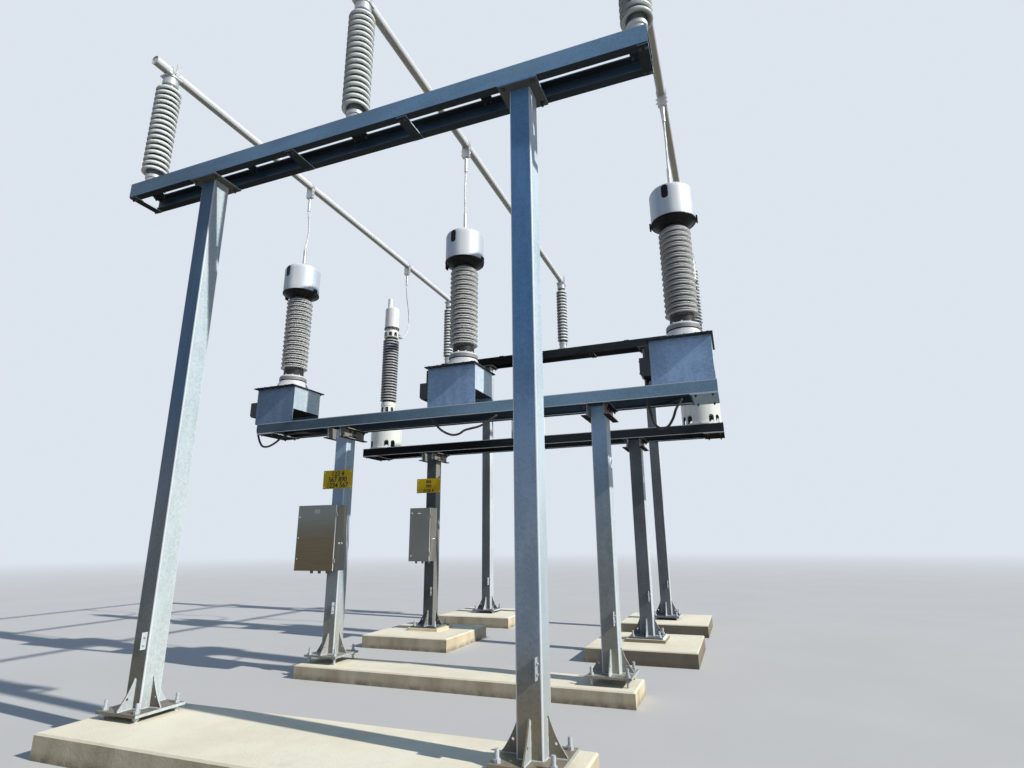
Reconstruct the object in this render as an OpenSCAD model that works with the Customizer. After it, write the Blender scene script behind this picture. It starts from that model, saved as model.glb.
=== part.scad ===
/* [Bay] */
// Distance between phases, along the beams
phase_pitch = 3000; // [2700:50:3300]
// Distance between the two columns of a portal
column_pitch = 3820; // [3400:20:4200]
// Distance between one of the first three portals and the next, along the busbars
portal_pitch = 2730; // [2400:10:3200]
// Distance between the third portal and the rear one
rear_pitch = 2580; // [2400:10:3200]
// Height of the busbar axis above the footing tops
bus_height = 7512; // [7462:10:7762]

/* [Footings] */
// Height of every footing from the ground to its top
footing_h = 200; // [120:10:400]
// Reach of the front strip footing past the column axes
strip_over = 350; // [340:10:600]
// Width of the front strip footing
front_strip_w = 1110; // [900:10:1400]
// Shift of the front strip footing towards the front
front_strip_shift = 120; // [0:10:150]
// Reach of the second strip footing, under the voltage transformers, past the column axes
vt_strip_over = 300; // [280:10:500]
// Width of the second strip footing
vt_strip_w = 650; // [620:10:1000]
// Shift of the second strip footing towards the front
vt_strip_shift = 40; // [0:5:50]
// Height by which its top lies lower than the others
vt_strip_drop = 35; // [10:5:60]
// Side of the square pads under the other columns
pad_w = 1580; // [900:10:1700]
// Shift of the pads of the third portal towards the front
ct_pad_shift = 110; // [0:10:200]
// Side of the grout pads under its base plates
grout_w = 580; // [500:10:700]
// Chamfer along the top edges of the footings
footing_chamfer = 15; // [5:1:30]

/* [Columns] */
// Side of the square hollow section
col_w = 200; // [160:10:220]
// Outer corner radius of the section
col_r = 14; // [10:1:30]
// Side of the base plate
plate_w = 500; // [460:10:600]
// Thickness of the base plate
plate_t = 25; // [16:1:40]
// Gap between footing and base plate, set by the levelling nuts
level_gap = 45; // [40:1:80]
// Distance between anchor bolts
anchor_pitch = 400; // [380:5:420]
// Diameter of the anchor bolts
anchor_d = 30; // [20:1:36]
// Clearance of the anchor bolts in the plate holes
anchor_play = 6; // [2:1:8]
// Length of the anchor bolts above their top nuts
anchor_tail = 60; // [20:5:80]
// Height of the gussets above the base plate
gusset_h = 255; // [180:5:360]
// Length of a gusset along the base plate
gusset_l = 140; // [100:5:140]
// Thickness of a gusset
gusset_t = 12; // [8:1:20]
// Wall of the square hollow section
col_wall = 8; // [5:1:12]
// Thickness of the cap plates
cap_t = 16; // [10:1:25]
// Side of the cap plates
cap_w = 380; // [320:10:400]

/* [High portals] */
// Underside of the high beams above the footing tops
high_beam_z = 5560; // [5000:20:5600]
// Reach of the high beams past the outer phases
high_beam_over = 95; // [95:5:300]
// Depth of the high channels
high_depth = 180; // [150:10:220]
// Flange width of the high channels
high_flange = 85; // [60:5:110]
// Gap between the toes of the high channels
high_gap = 210; // [150:10:260]
// Width of the battens under the high beams
batten_w = 110; // [60:5:160]
// Distance of the inner battens from the middle of the beam
batten_x = 690; // [400:10:1200]
// Battens on top of the high beams: from the centre
top_batten_x = 1490; // [1300:10:1600]
// Width of the battens at the ends of the high beams
end_batten_w = 95; // [60:5:160]
// Size of a seat plate along the high beam
seat_l = 190; // [180:5:190]
// Size of a seat plate across the high beam
seat_w = 300; // [260:10:380]

/* [Low portals] */
// Underside of the low beams above the footing tops
low_beam_z = 3110; // [2900:10:3300]
// Reach of the low beams past the outer phases
low_beam_over = 320; // [260:10:500]
// Length of the tie plates under the ends of the low beams
tie_l = 310; // [200:10:360]
// Depth of the low channels
low_depth = 150; // [120:10:180]
// Flange width of the low channels
low_flange = 75; // [50:5:90]
// Width of the low beams over both webs
low_beam_w = 580; // [540:10:640]
// Web thickness of all channels
web_t = 8; // [6:1:12]
// Flange thickness of all channels
flange_t = 13; // [9:1:16]
// Root radius between web and flanges
root_r = 11; // [6:1:14]
// Thickness of end plates, seat plates and battens
flat_t = 12; // [8:1:16]

/* [Post insulators] */
// Outer diameter of the front sheds
front_shed_d = 294; // [240:2:320]
// Outer diameter of the rear sheds
rear_shed_d = 250; // [220:2:320]
// Diameter of the porcelain core
post_core_d = 165; // [120:5:180]
// Height of the base fitting
post_base_h = 190; // [120:5:240]
// Height of the cap fitting
post_cap_h = 130; // [80:5:160]
// Number of sheds
post_sheds = 17; // [10:1:20]

/* [Busbars] */
// Outer diameter of the busbar tube
bus_d = 120; // [80:5:140]
// Wall of the busbar tube
bus_wall = 7; // [4:0.5:10]
// Overhang of the busbars past the outer portals
bus_overhang = 250; // [200:10:600]
// Clearance between the tube and its clamps
seat_play = 0.3; // [0.2:0.1:0.5]
// Width of a busbar clamp along the tube
clamp_l = 80; // [60:5:120]
// Thickness of the clamp ring
clamp_t = 10; // [8:1:20]
// Width of the upright fin on a post clamp
fin_w = 60; // [40:5:80]
// Height of the fin
fin_h = 180; // [140:5:220]
// Thickness of the fin
fin_t = 10; // [6:1:14]
// Width of the palm below a dropper clamp
palm_w = 120; // [90:5:150]
// Drop from the busbar axis to the underside of the palm
palm_drop = 222; // [160:2:260]
// Diameter of the pressed barrels at the ends of the leads
barrel_d = 48; // [36:2:60]
// Length of the pressed barrels
barrel_l = 260; // [150:10:300]
// Diameter of the leads
lead_d = 30; // [18:1:36]

/* [Voltage transformers] */
// Width of the tank along the beam
vt_tank_w = 710; // [600:10:760]
// Depth of the tank across the beam
vt_tank_d = 580; // [540:10:640]
// Height of the tank from the beam to its lid
vt_tank_h = 545; // [450:5:640]
// Height of the open gap under the tank floor
vt_open_h = 195; // [120:5:240]
// Thickness of the tank sheets
vt_sheet_t = 6; // [4:1:10]
// Depth of the turned-in feet of the front and rear sheets
vt_foot_d = 60; // [40:5:75]
// Shift of the tanks from the phases towards the marshalling box
vt_tank_shift = 40; // [0:5:60]
// Overhang of the lid past the tank, along the beam
vt_lid_over = 25; // [10:1:40]
// Overhang of the lid past the tank, across the beam
vt_lid_out = 70; // [30:5:90]
// Thickness of the lid
vt_lid_t = 14; // [8:1:25]
// Diameter of the turret at the lid
vt_turret_d = 540; // [460:10:580]
// Diameter of the ring flange
vt_ring_d = 410; // [380:5:440]
// Height of the turret from the lid to the top of the ring
vt_turret_h = 230; // [160:5:300]
// Outer diameter of the large sheds
vt_shed_d = 405; // [360:5:420]
// Diameter of the porcelain core
vt_core_d = 270; // [200:5:290]
// Height of the porcelain
vt_porcelain_h = 1240; // [1000:10:1400]
// Number of large sheds
vt_sheds = 16; // [10:1:20]
// Diameter of the head
vt_head_d = 560; // [480:10:600]
// Height of the head
vt_head_h = 465; // [400:5:520]
// Height of the dark collar under the head
vt_collar_h = 90; // [80:5:140]
// Turn of the sight glass from the front of the head
sight_turn = 12; // [0:1:60]
// Height of the terminal stud on the head, boss included
vt_stud_h = 90; // [70:5:180]
// Size of a terminal box along the beam
tbox_w = 130; // [100:5:150]
// Size of a terminal box across the beam
tbox_d = 250; // [180:5:280]
// Height of a terminal box
tbox_h = 230; // [200:5:300]
// Height of the underside of a terminal box above the beam
tbox_z = 120; // [60:5:200]
// Distance of a terminal box in front of the middle of its tank
tbox_out = 155; // [100:5:160]
// Diameter of the flexible conduits
conduit_d = 32; // [24:1:36]
// Radius of the rounded shoulder of the head
vt_shoulder = 85; // [40:5:120]

/* [Current transformers] */
// Diameter of the tank
ct_tank_d = 610; // [520:10:640]
// Height of the tank
ct_tank_h = 640; // [560:10:700]
// Height of the open skirt below the tank floor
ct_skirt_h = 225; // [160:5:260]
// Wall of the skirt
ct_skirt_t = 10; // [6:1:16]
// Width of the arches cut through the skirt
ct_arch_w = 85; // [60:5:100]
// Height of those arches
ct_arch_h = 130; // [100:5:140]
// Outer diameter of the sheds
ct_shed_d = 325; // [280:5:340]
// Diameter of the porcelain core
ct_core_d = 215; // [160:5:230]
// Height of the base fitting
ct_base_h = 320; // [240:5:360]
// Height of the porcelain
ct_porcelain_h = 1380; // [1100:10:1500]
// Number of sheds
ct_sheds = 23; // [14:1:26]
// Diameter of the head
ct_head_d = 292; // [260:4:340]
// Height of the head cylinder
ct_head_h = 440; // [340:5:480]
// Height of the fitting under the head
ct_fitting_h = 190; // [170:5:240]
// Height of the ring flange between fitting and head
ct_flange_h = 40; // [30:5:80]
// Height of the primary pin on the head
ct_pin_h = 230; // [120:10:300]
// Reach of the rear terminal from the axis
ct_terminal_reach = 400; // [320:5:440]
// Distance of the lead clamps behind the current transformers
ct_clamp_out = 508; // [400:4:600]

/* [Cabinets] */
// Width of the marshalling box
box_w = 630; // [500:10:680]
// Depth of the marshalling box with its door
box_d = 250; // [200:10:340]
// Height of the marshalling box
box_h = 865; // [700:5:1000]
// Underside of the marshalling box above the footing top
box_z = 1135; // [900:5:1300]
// Width of the kiosk
kiosk_w = 410; // [400:10:560]
// Depth of the kiosk with its door
kiosk_d = 260; // [200:10:340]
// Height of the kiosk
kiosk_h = 925; // [700:5:1000]
// Underside of the kiosk above the footing top
kiosk_z = 1160; // [900:5:1300]
// Thickness of the cabinet sheets
sheet_t = 3; // [2:0.5:5]
// Depth of a door leaf, folded edge included
door_d = 22; // [15:1:30]
// Gap between door and cabinet
door_gap = 5; // [5:0.5:8]
// Distance of the hinge axis from the cabinet side
hinge_out = 12; // [12:1:16]
// Radius of the hinge knuckles
knuckle_r = 7; // [5:0.5:7]
// Length of a hinge knuckle
knuckle_l = 25; // [18:1:35]
// Radius of the hinge pins
hinge_pin_r = 3.5; // [3:0.5:4]
// Radial clearance of the hinge pins
hinge_play = 0.05; // [0.02:0.01:0.09]
// Distance of the marshalling box from its column axis, to the left
box_shift = 110; // [60:5:160]
// Distance of the kiosk from its column axis, to the left
kiosk_shift = 52; // [0:4:120]
// Diameter of the plugged cable glands under the cabinet floors
gland_d = 50; // [32:1:63]
// Length of the glands
gland_h = 40; // [20:1:60]
// Distance between the glands
gland_pitch = 130; // [90:5:140]
// Depth of the rails between cabinet and column
rail_d = 30; // [20:1:40]

/* [Signs] */
// Width of a sign plate
sign_w = 500; // [300:10:560]
// Height of a sign plate
sign_h = 265; // [150:5:320]
// Thickness of a sign plate
sign_t = 3; // [2:0.5:5]
// Gap between the marshalling box and the sign above it
box_sign_gap = 245; // [60:5:400]
// Gap between the kiosk and the sign above it
kiosk_sign_gap = 290; // [60:5:400]
// Shift of the sign over the marshalling box from the column axis
sign_shift = 20; // [0:5:80]

/* [Hidden] */
$fn = 48;
front_y = 0;
vt_y = portal_pitch;
ct_y = 2 * portal_pitch;
rear_y = ct_y + rear_pitch;
col_x = column_pitch / 2;
phases = [-phase_pitch, 0, phase_pitch];
strip_l = column_pitch + 2 * strip_over;
vt_strip_l = column_pitch + 2 * vt_strip_over;
high_beam_l = 2 * (phase_pitch + high_beam_over);
low_beam_l = 2 * (phase_pitch + low_beam_over);
plate_top = level_gap + plate_t;
high_beam_w = high_gap + 2 * high_flange;
high_beam_top = high_beam_z + high_depth;
low_beam_top = low_beam_z + low_depth;
low_col_h = low_beam_z - cap_t;
bracket_web_x = col_w / 2;
seat_top = high_beam_top + flat_t;
bus_r = bus_d / 2;
clamp_seat = bus_height - bus_r - seat_play - clamp_t;
clamp_foot_t = 20;
post_cap_top = clamp_seat - clamp_foot_t;
post_h = post_cap_top - seat_top;
post_porcelain_h = post_h - post_base_h - post_cap_h;
vt_lid_top = low_beam_top + vt_tank_h + vt_lid_t;
vt_neck_h = 95;
vt_porcelain_z = vt_lid_top + vt_turret_h + vt_neck_h;
vt_collar_z = vt_porcelain_z + vt_porcelain_h;
vt_head_z = vt_collar_z + vt_collar_h;
vt_stud_top = vt_head_z + vt_head_h + vt_stud_h;
vt_tank_r = vt_tank_w / 2;
tbox_x = -vt_tank_shift - vt_tank_r - tbox_w / 2;
tbox_bottom = low_beam_top + tbox_z;
palm_bottom = bus_height - palm_drop;
// Shortest free lead between its two barrels, which grow shorter where the drop leaves less
lead_free = 200;
barrel_fit = min(barrel_l, (palm_bottom - vt_stud_top - lead_free) / 2);
ct_porcelain_z = low_beam_top + ct_tank_h + ct_base_h;
ct_fitting_z = ct_porcelain_z + ct_porcelain_h;
arm_t = 14;
arm_drop = 50;
arm_top = ct_fitting_z + ct_fitting_h - arm_drop;
arm_barrel_l = 100;
arm_barrel_z = arm_top + barrel_d / 2;
vt_lead_bow = [45, -15, 30];
ct_lead_bow = 225;
lug_z = 570;
run_z = low_beam_z + flange_t + conduit_d / 2 + seat_play;
run_toe = low_beam_w / 2 - low_flange + conduit_d / 2;
run_root = low_beam_w / 2 - web_t - conduit_d / 2 - seat_play;
drop_y = col_w / 2 + conduit_d / 2 + 2;
box_back = -col_w / 2 - rail_d;

// Leads from the busbar clamps down to the voltage transformers, each with its own slight bow.
// Each pair holds the share of the bow and the share of the height.
function vt_lead(b) =
    let (top = palm_bottom - barrel_fit, low = vt_stud_top + barrel_fit)
    [for (q = [[0, 1], [0, 0.93], [0.6, 0.76], [1, 0.55], [0.9, 0.37], [0.4, 0.19], [0, 0.08], [0, 0]])
        [0, b * q[0], low + (top - low) * q[1]]];

// Lead from a busbar clamp, bowed to the rear, to the arm of a current transformer
function ct_lead() =
    let (top = palm_bottom - barrel_fit, rise = top - arm_barrel_z, back = ct_clamp_out - ct_terminal_reach)
    concat(
        [[0, ct_clamp_out, top], [0, ct_clamp_out, top - 50]],
        [for (q = [[0.12, 0.88], [0.28, 0.79], [0.49, 0.68], [0.74, 0.57], [0.91, 0.47], [0.99, 0.38],
                   [0.99, 0.3], [0.9, 0.21], [0.74, 0.13], [0.54, 0.07], [0.34, 0.03]])
            [0, ct_terminal_reach + back * q[1] + ct_lead_bow * q[0], arm_barrel_z + rise * q[1]]],
        [[0, ct_terminal_reach + 40, arm_barrel_z], [0, ct_terminal_reach, arm_barrel_z]]);

// Conduits from the terminal boxes, along the rear channel and down behind the left column.
// Each first loops below the beam, at loop_y, as it leaves its box.
loop_y = -130;
tbox_exit_z = tbox_bottom - 30;
conduit_left = [
    [-phase_pitch + tbox_x, loop_y, tbox_bottom], [-phase_pitch + tbox_x, loop_y, tbox_exit_z],
    [-3485, loop_y, 3280], [-3490, loop_y, 3200], [-3460, loop_y, 3110],
    [-3420, loop_y, 3020], [-3355, loop_y, 2945], [-3240, loop_y, 2935], [-3110, loop_y, 2985],
    [-3010, loop_y, 3050],
    [-2920, -100, 3098], [-2820, -30, 3128], [-2710, 80, 3142], [-2600, 170, 3142],
    [-2450, 225, run_z], [-2200, run_toe, run_z], [-2080, 220, run_z], [-2000, 190, run_z],
    [-1967, 155, 3118], [-1960, 134, 3050], [-1960, drop_y, 2980], [-1960, drop_y, 2050],
    [-1975, 120, 1970], [-2010, 128, 1900], [-2055, 110, 1850], [-2085, 50, 1820],
    [-2095, -30, 1802], [-2100, -70, 1800], [-2100, box_back, 1800]];
conduit_middle = [
    [tbox_x, loop_y, tbox_bottom], [tbox_x, loop_y, tbox_exit_z], [-458, loop_y, 3290],
    [-435, loop_y, 3190], [-390, loop_y, 3110],
    [-266, loop_y, 2972], [-113, loop_y, 2892], [6, loop_y, 2892], [90, loop_y, 2935],
    [190, loop_y, 2955], [300, loop_y, 2972],
    [400, -110, 3020], [465, -50, 3085], [485, 30, 3135], [440, 120, 3150], [330, 190, 3146],
    [180, run_toe - 4, run_z], [0, run_toe, run_z], [-1700, run_toe - 2, run_z], [-1790, 200, run_z],
    [-1840, 170, 3136], [-1858, 142, 3105], [-1860, 130, 3050], [-1860, drop_y, 2980],
    [-1860, drop_y, 1850],
    [-1880, 120, 1760], [-1930, 130, 1690], [-2000, 135, 1640], [-2060, 110, 1615], [-2090, 50, 1605],
    [-2100, -70, 1600], [-2100, box_back, 1600]];
conduit_right = [
    [phase_pitch + tbox_x, loop_y, tbox_bottom], [phase_pitch + tbox_x, loop_y, tbox_exit_z],
    [2530, loop_y, 3280], [2518, loop_y, 3130], [2554, loop_y, 2940],
    [2585, loop_y, 2830], [2650, loop_y, 2765], [2735, loop_y, 2780], [2800, -125, 2870],
    [2840, -110, 2980],
    [2885, -60, 3070], [2905, 30, 3130], [2870, 130, 3150], [2780, 210, 3145], [2650, run_root - 6, run_z],
    [2450, run_root, run_z], [-1700, run_root, run_z], [-1820, 250, run_z], [-1890, 215, run_z],
    [-1907, 170, 3130], [-1910, 136, 3050], [-1910, drop_y, 2980], [-1910, drop_y, 1950],
    [-1925, 120, 1870], [-1960, 130, 1790], [-2020, 130, 1740], [-2065, 105, 1715], [-2090, 50, 1705],
    [-2100, -70, 1700], [-2100, box_back, 1700]];

galvanised = [0.60, 0.63, 0.66];
porcelain_grey = [0.74, 0.75, 0.74];
porcelain_brown = [0.25, 0.16, 0.12];
cast_metal = [0.72, 0.73, 0.72];
concrete = [0.80, 0.78, 0.70];

// A square with round corners, made of squares and circles
module rounded_square(w, r) {
    square([w, w - 2 * r], center = true);
    square([w - 2 * r, w], center = true);
    for (x = [-1, 1], y = [-1, 1])
        translate([x * (w / 2 - r), y * (w / 2 - r)]) circle(r = r);
}

// A footing block with its top edges chamfered, its underside on the ground
module footing(l, w, h) {
    c = footing_chamfer;
    difference() {
        translate([-l / 2, -w / 2, 0]) cube([l, w, h]);
        for (s = [-1, 1]) {
            translate([0, s * w / 2, h]) rotate([45, 0, 0])
                cube([l + 2, c * sqrt(2), c * sqrt(2)], center = true);
            translate([s * l / 2, 0, h]) rotate([0, 45, 0])
                cube([c * sqrt(2), w + 2, c * sqrt(2)], center = true);
        }
    }
}

// Gusset outline: from the column face outwards, its slope drawn in by a large arc
module gusset_outline() {
    toe = 12;
    run = gusset_l - toe;
    rise = gusset_h - toe;
    chord = sqrt(run * run + rise * rise);
    dip = chord * 0.045;
    arc_r = chord * chord / (8 * dip) + dip / 2;
    mid = [toe + run / 2, toe + rise / 2];
    out = [rise / chord, run / chord];
    difference() {
        square([gusset_l, gusset_h]);
        polygon([[toe, gusset_h + 1], [toe, gusset_h], [gusset_l, toe],
                 [gusset_l + 1, toe], [gusset_l + 1, gusset_h + 1]]);
        intersection() {
            translate(mid + out * (arc_r - dip)) circle(r = arc_r, $fn = 96);
            translate([toe, toe]) square([run, rise]);
        }
        translate([gusset_l * 0.42, gusset_h * 0.35]) circle(d = 22);
    }
}

// Four gussets, one at the middle of each column face
module gussets() {
    for (a = [0, 90, 180, 270])
        rotate([0, 0, a])
            translate([col_w / 2, gusset_t / 2, plate_top])
                rotate([90, 0, 0]) linear_extrude(gusset_t) gusset_outline();
}

// A column from its base plate to the top of its shaft, standing over a footing
module column(shaft_top, cap) {
    lug = [8, 55, 150];
    difference() {
        translate([-plate_w / 2, -plate_w / 2, level_gap]) cube([plate_w, plate_w, plate_t]);
        for (x = [-1, 1], y = [-1, 1])
            translate([x * anchor_pitch / 2, y * anchor_pitch / 2, level_gap - 1])
                cylinder(d = anchor_d + anchor_play, h = plate_t + 2);
    }
    translate([0, 0, plate_top]) linear_extrude(shaft_top - plate_top) difference() {
        rounded_square(col_w, col_r);
        rounded_square(col_w - 2 * col_wall, col_r - col_wall);
    }
    gussets();
    translate([col_w * 0.3, -col_w / 2 - lug[1], lug_z]) difference() {
        cube(lug);
        for (z = [0.27, 0.73])
            translate([-1, lug[1] * 0.5, lug[2] * z]) rotate([0, 90, 0]) cylinder(d = 14, h = lug[0] + 2);
    }
    if (cap)
        translate([-cap_w / 2, -cap_w / 2, shaft_top]) cube([cap_w, cap_w, cap_t]);
    else
        translate([-col_w / 2, -col_w / 2, shaft_top]) cube([col_w, col_w, cap_t]);
}

module high_column(x, y) {
    translate([x, y, footing_h]) column(high_beam_z - cap_t, true);
}

module low_column(x, y) {
    translate([x, y, footing_h]) column(low_col_h, false);
}

// A parallel flange channel along X: web outside at y = 0, toes towards +Y
module channel(l, depth, flange) {
    r = root_r;
    translate([-l / 2, 0, 0]) rotate([90, 0, 90]) linear_extrude(l) difference() {
        square([flange, depth]);
        translate([web_t + r, flange_t]) square([flange, depth - 2 * flange_t]);
        translate([web_t, flange_t + r]) square([flange, depth - 2 * (flange_t + r)]);
        for (z = [flange_t + r, depth - flange_t - r])
            translate([web_t + r, z]) circle(r = r);
    }
}

// Two channels toe to toe
module channel_pair(l, w, depth, flange) {
    for (s = [0, 1])
        mirror([0, s, 0]) translate([0, -w / 2, 0]) channel(l, depth, flange);
}

// The high beam with seat plates for the insulators and battens below
module high_beam(y) {
    end_x = high_beam_l / 2 - end_batten_w / 2;
    translate([0, y, footing_h + high_beam_z]) {
        channel_pair(high_beam_l, high_beam_w, high_depth, high_flange);
        for (x = phases)
            translate([x - seat_l / 2, -seat_w / 2, high_depth]) cube([seat_l, seat_w, flat_t]);
        for (side = [-1, 1], b = [[end_x, end_batten_w], [batten_x, batten_w]])
            translate([side * b[0] - b[1] / 2, -high_beam_w / 2 + 10, -flat_t])
                cube([b[1], high_beam_w - 20, flat_t]);
        for (side = [-1, 1])
            translate([side * top_batten_x - batten_w / 2, -high_beam_w / 2 + 10, high_depth])
                cube([batten_w, high_beam_w - 20, flat_t]);
    }
}

// The low beam with a plate across each end and a tie plate under it
module low_beam(y) {
    translate([0, y, footing_h + low_beam_z]) {
        channel_pair(low_beam_l, low_beam_w, low_depth, low_flange);
        for (s = [-1, 1])
            translate([s * (low_beam_l / 2 + flat_t / 2) - flat_t / 2, -low_beam_w / 2, 0])
                cube([flat_t, low_beam_w, low_depth]);
        for (s = [-1, 1])
            translate([s * (low_beam_l / 2 + flat_t - tie_l / 2) - tie_l / 2, -low_beam_w / 2, -flat_t])
                cube([tie_l, low_beam_w, flat_t]);
    }
}

// Two cross channels bolted to the sides of a column, carrying a low beam
module bracket_pair(x, y) {
    for (s = [0, 1])
        translate([x, y, footing_h + low_beam_z - low_depth]) mirror([s, 0, 0])
            translate([bracket_web_x, 0, 0]) rotate([0, 0, -90]) channel(low_beam_w, low_depth, low_flange);
}

// An anchor bolt, its foot on a footing that lies lower by the drop given
module anchor(x, y, levelling, drop) {
    nut_h = anchor_d * 0.8;
    nut_d = anchor_d * 1.8;
    translate([x, y, footing_h]) {
        translate([0, 0, -drop]) cylinder(d = anchor_d, h = drop + plate_top + nut_h + anchor_tail);
        if (levelling)
            translate([0, 0, level_gap - nut_h]) cylinder(d = nut_d, h = nut_h, $fn = 6);
        translate([0, 0, plate_top]) cylinder(d = nut_d, h = nut_h, $fn = 6);
    }
}

module column_anchors(x, y, levelling, drop) {
    for (dx = [-1, 1], dy = [-1, 1])
        anchor(x + dx * anchor_pitch / 2, y + dy * anchor_pitch / 2, levelling, drop);
}

// Outline of a shedded porcelain: thick sheds with full round lips and narrow gaps between them
function shed_points(core_r, shed_r, h, n) =
    let (end = h / (n + 1) * 0.5, p = (h - 2 * end) / n)
    concat(
        [[0, 0], [core_r, 0]],
        [for (k = [0 : n - 1], q = [
            [core_r, 0.38], [shed_r - p * 0.28, 0.06], [shed_r - p * 0.12, 0.03],
            [shed_r - p * 0.02, 0.12], [shed_r, 0.25], [shed_r - p * 0.04, 0.42],
            [shed_r - p * 0.18, 0.58], [shed_r - p * 0.42, 0.70], [core_r + p * 0.12, 0.84], [core_r, 0.92]
        ]) [q[0], end + p * (k + q[1])]],
        [[core_r, h], [0, h]]);

module porcelain(core_d, shed_d, h, n) {
    rotate_extrude() polygon(shed_points(core_d / 2, shed_d / 2, h, n));
}

// Porcelain of large sheds with a smaller one between each pair
function double_shed_points(core_r, big_r, small_r, h, n) =
    let (end = h / (n + 1) * 0.4, p = (h - 2 * end) / n)
    concat(
        [[0, 0], [core_r, 0]],
        [for (k = [0 : n - 1], q = [
            [core_r, 0.16], [big_r - p * 0.12, 0.06], [big_r, 0.13], [big_r - p * 0.06, 0.22],
            [core_r, 0.46], [core_r, 0.62], [small_r - p * 0.08, 0.56],
            [small_r, 0.62], [small_r - p * 0.06, 0.69], [core_r, 0.86]
        ]) [q[0], end + p * (k + q[1])]],
        [[core_r, h], [0, h]]);

// Metal base and cap of a post insulator
module post_fittings() {
    d = post_core_d;
    rotate_extrude() polygon([
        [0, 0], [d * 0.57, 0], [d * 0.57, 16], [d * 0.53, 20], [d * 0.51, post_base_h * 0.7],
        [d * 0.57, post_base_h * 0.75], [d * 0.57, post_base_h - 8], [d * 0.52, post_base_h],
        [0, post_base_h]]);
    translate([0, 0, post_base_h + post_porcelain_h]) rotate_extrude() polygon([
        [0, 0], [d * 0.54, 0], [d * 0.57, 8], [d * 0.57, post_cap_h * 0.55], [d * 0.53, post_cap_h * 0.62],
        [d * 0.53, post_cap_h - 14], [d * 0.6, post_cap_h - 14], [d * 0.6, post_cap_h], [0, post_cap_h]]);
}

module post_positions(y) {
    for (x = phases) translate([x, y, footing_h + seat_top]) children();
}

// Clamp that seats a busbar on the cap of a post insulator, with an upright fin on the sides named
module post_clamp(fin_sides) {
    ring_r = bus_r + seat_play + clamp_t;
    foot = post_core_d * 1.1;
    difference() {
        union() {
            translate([-foot / 2, -foot / 2, post_cap_top]) cube([foot, foot, clamp_foot_t]);
            translate([0, clamp_l / 2, bus_height]) rotate([90, 0, 0]) cylinder(r = ring_r, h = clamp_l);
            translate([-bus_r, -clamp_l / 2, post_cap_top + clamp_foot_t / 2])
                cube([2 * bus_r, clamp_l, bus_r]);
            for (s = fin_sides)
                translate([s * (ring_r + fin_t / 2 - 2) - fin_t / 2, 0, bus_height - fin_h * 0.29])
                    cube([fin_t, fin_w, fin_h]);
        }
        translate([0, clamp_l / 2 + 1, bus_height]) rotate([90, 0, 0])
            cylinder(r = bus_r + seat_play, h = clamp_l + 2);
        for (s = fin_sides)
            translate([s * ring_r - 15, fin_w * 0.3, bus_height + fin_h * 0.43])
                rotate([0, 90, 0]) cylinder(d = 20, h = 30);
    }
}

// A ring clamp on a busbar with a palm below it and the pressed barrel of a lead under the palm
module dropper_clamp() {
    ring_r = bus_r + seat_play + clamp_t;
    ring_l = 60;
    palm_t = 54;
    difference() {
        union() {
            translate([0, ring_l / 2, 0]) rotate([90, 0, 0]) cylinder(r = ring_r, h = ring_l);
            translate([-palm_w / 2, -palm_t / 2, -palm_drop])
                cube([palm_w, palm_t, palm_drop - bus_r * 0.7]);
        }
        translate([0, ring_l / 2 + 1, 0]) rotate([90, 0, 0])
            cylinder(r = bus_r + seat_play, h = ring_l + 2);
    }
    translate([0, 0, -palm_drop - barrel_fit]) cylinder(d = barrel_d, h = barrel_fit);
}

// Unit vector, and the direction of a route at one of its points
function unit(v) = v / norm(v);
function along(p, i) = unit(p[min(i + 1, len(p) - 1)] - p[max(i - 1, 0)]);

// A side direction carried along the route without twist
function squared(u, t) = unit(u - t * (u * t));
function side_at(p, i) = squared(i == 0 ? [1, 0, 0] : side_at(p, i - 1), along(p, i));

// A round tube swept along a route of points, a ring of corners at each
module swept_tube(route, d) {
    sides = 8;
    last = len(route) - 1;
    polyhedron(
        points = [for (i = [0 : last])
            let (t = along(route, i), u = side_at(route, i), v = cross(t, u))
            for (k = [0 : sides - 1])
                let (a = 360 * k / sides)
                route[i] + d / 2 * (cos(a) * u + sin(a) * v)],
        faces = concat(
            [[for (k = [0 : sides - 1]) k]],
            [for (i = [0 : last - 1], k = [0 : sides - 1], half = [0, 1])
                let (a = i * sides + k, b = i * sides + (k + 1) % sides)
                half == 0 ? [a, a + sides, b] : [b, a + sides, b + sides]],
            [[for (k = [sides - 1 : -1 : 0]) last * sides + k]]));
}

module footing_front() {
    translate([0, front_y - front_strip_shift, 0]) footing(strip_l, front_strip_w, footing_h);
}

module pads(y) {
    for (x = [-col_x, col_x]) translate([x, y, 0]) footing(pad_w, pad_w, footing_h);
}

// Tank of a voltage transformer: a sheet box whose front and rear sheets reach the beam
module vt_tank() {
    w = vt_tank_w;
    d = vt_tank_d;
    difference() {
        translate([-w / 2, -d / 2, 0]) cube([w, d, vt_tank_h]);
        translate([-w / 2 - 1, -d / 2 + vt_sheet_t, -1]) cube([w + 2, d - 2 * vt_sheet_t, vt_open_h + 1]);
    }
    for (s = [0, 1])
        mirror([0, s, 0]) translate([-w / 2, -d / 2, 0]) cube([w, vt_foot_d, vt_sheet_t]);
    translate([-w / 2 - vt_lid_over, -d / 2 - vt_lid_out, vt_tank_h])
        cube([w + 2 * vt_lid_over, d + 2 * vt_lid_out, vt_lid_t]);
}

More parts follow.
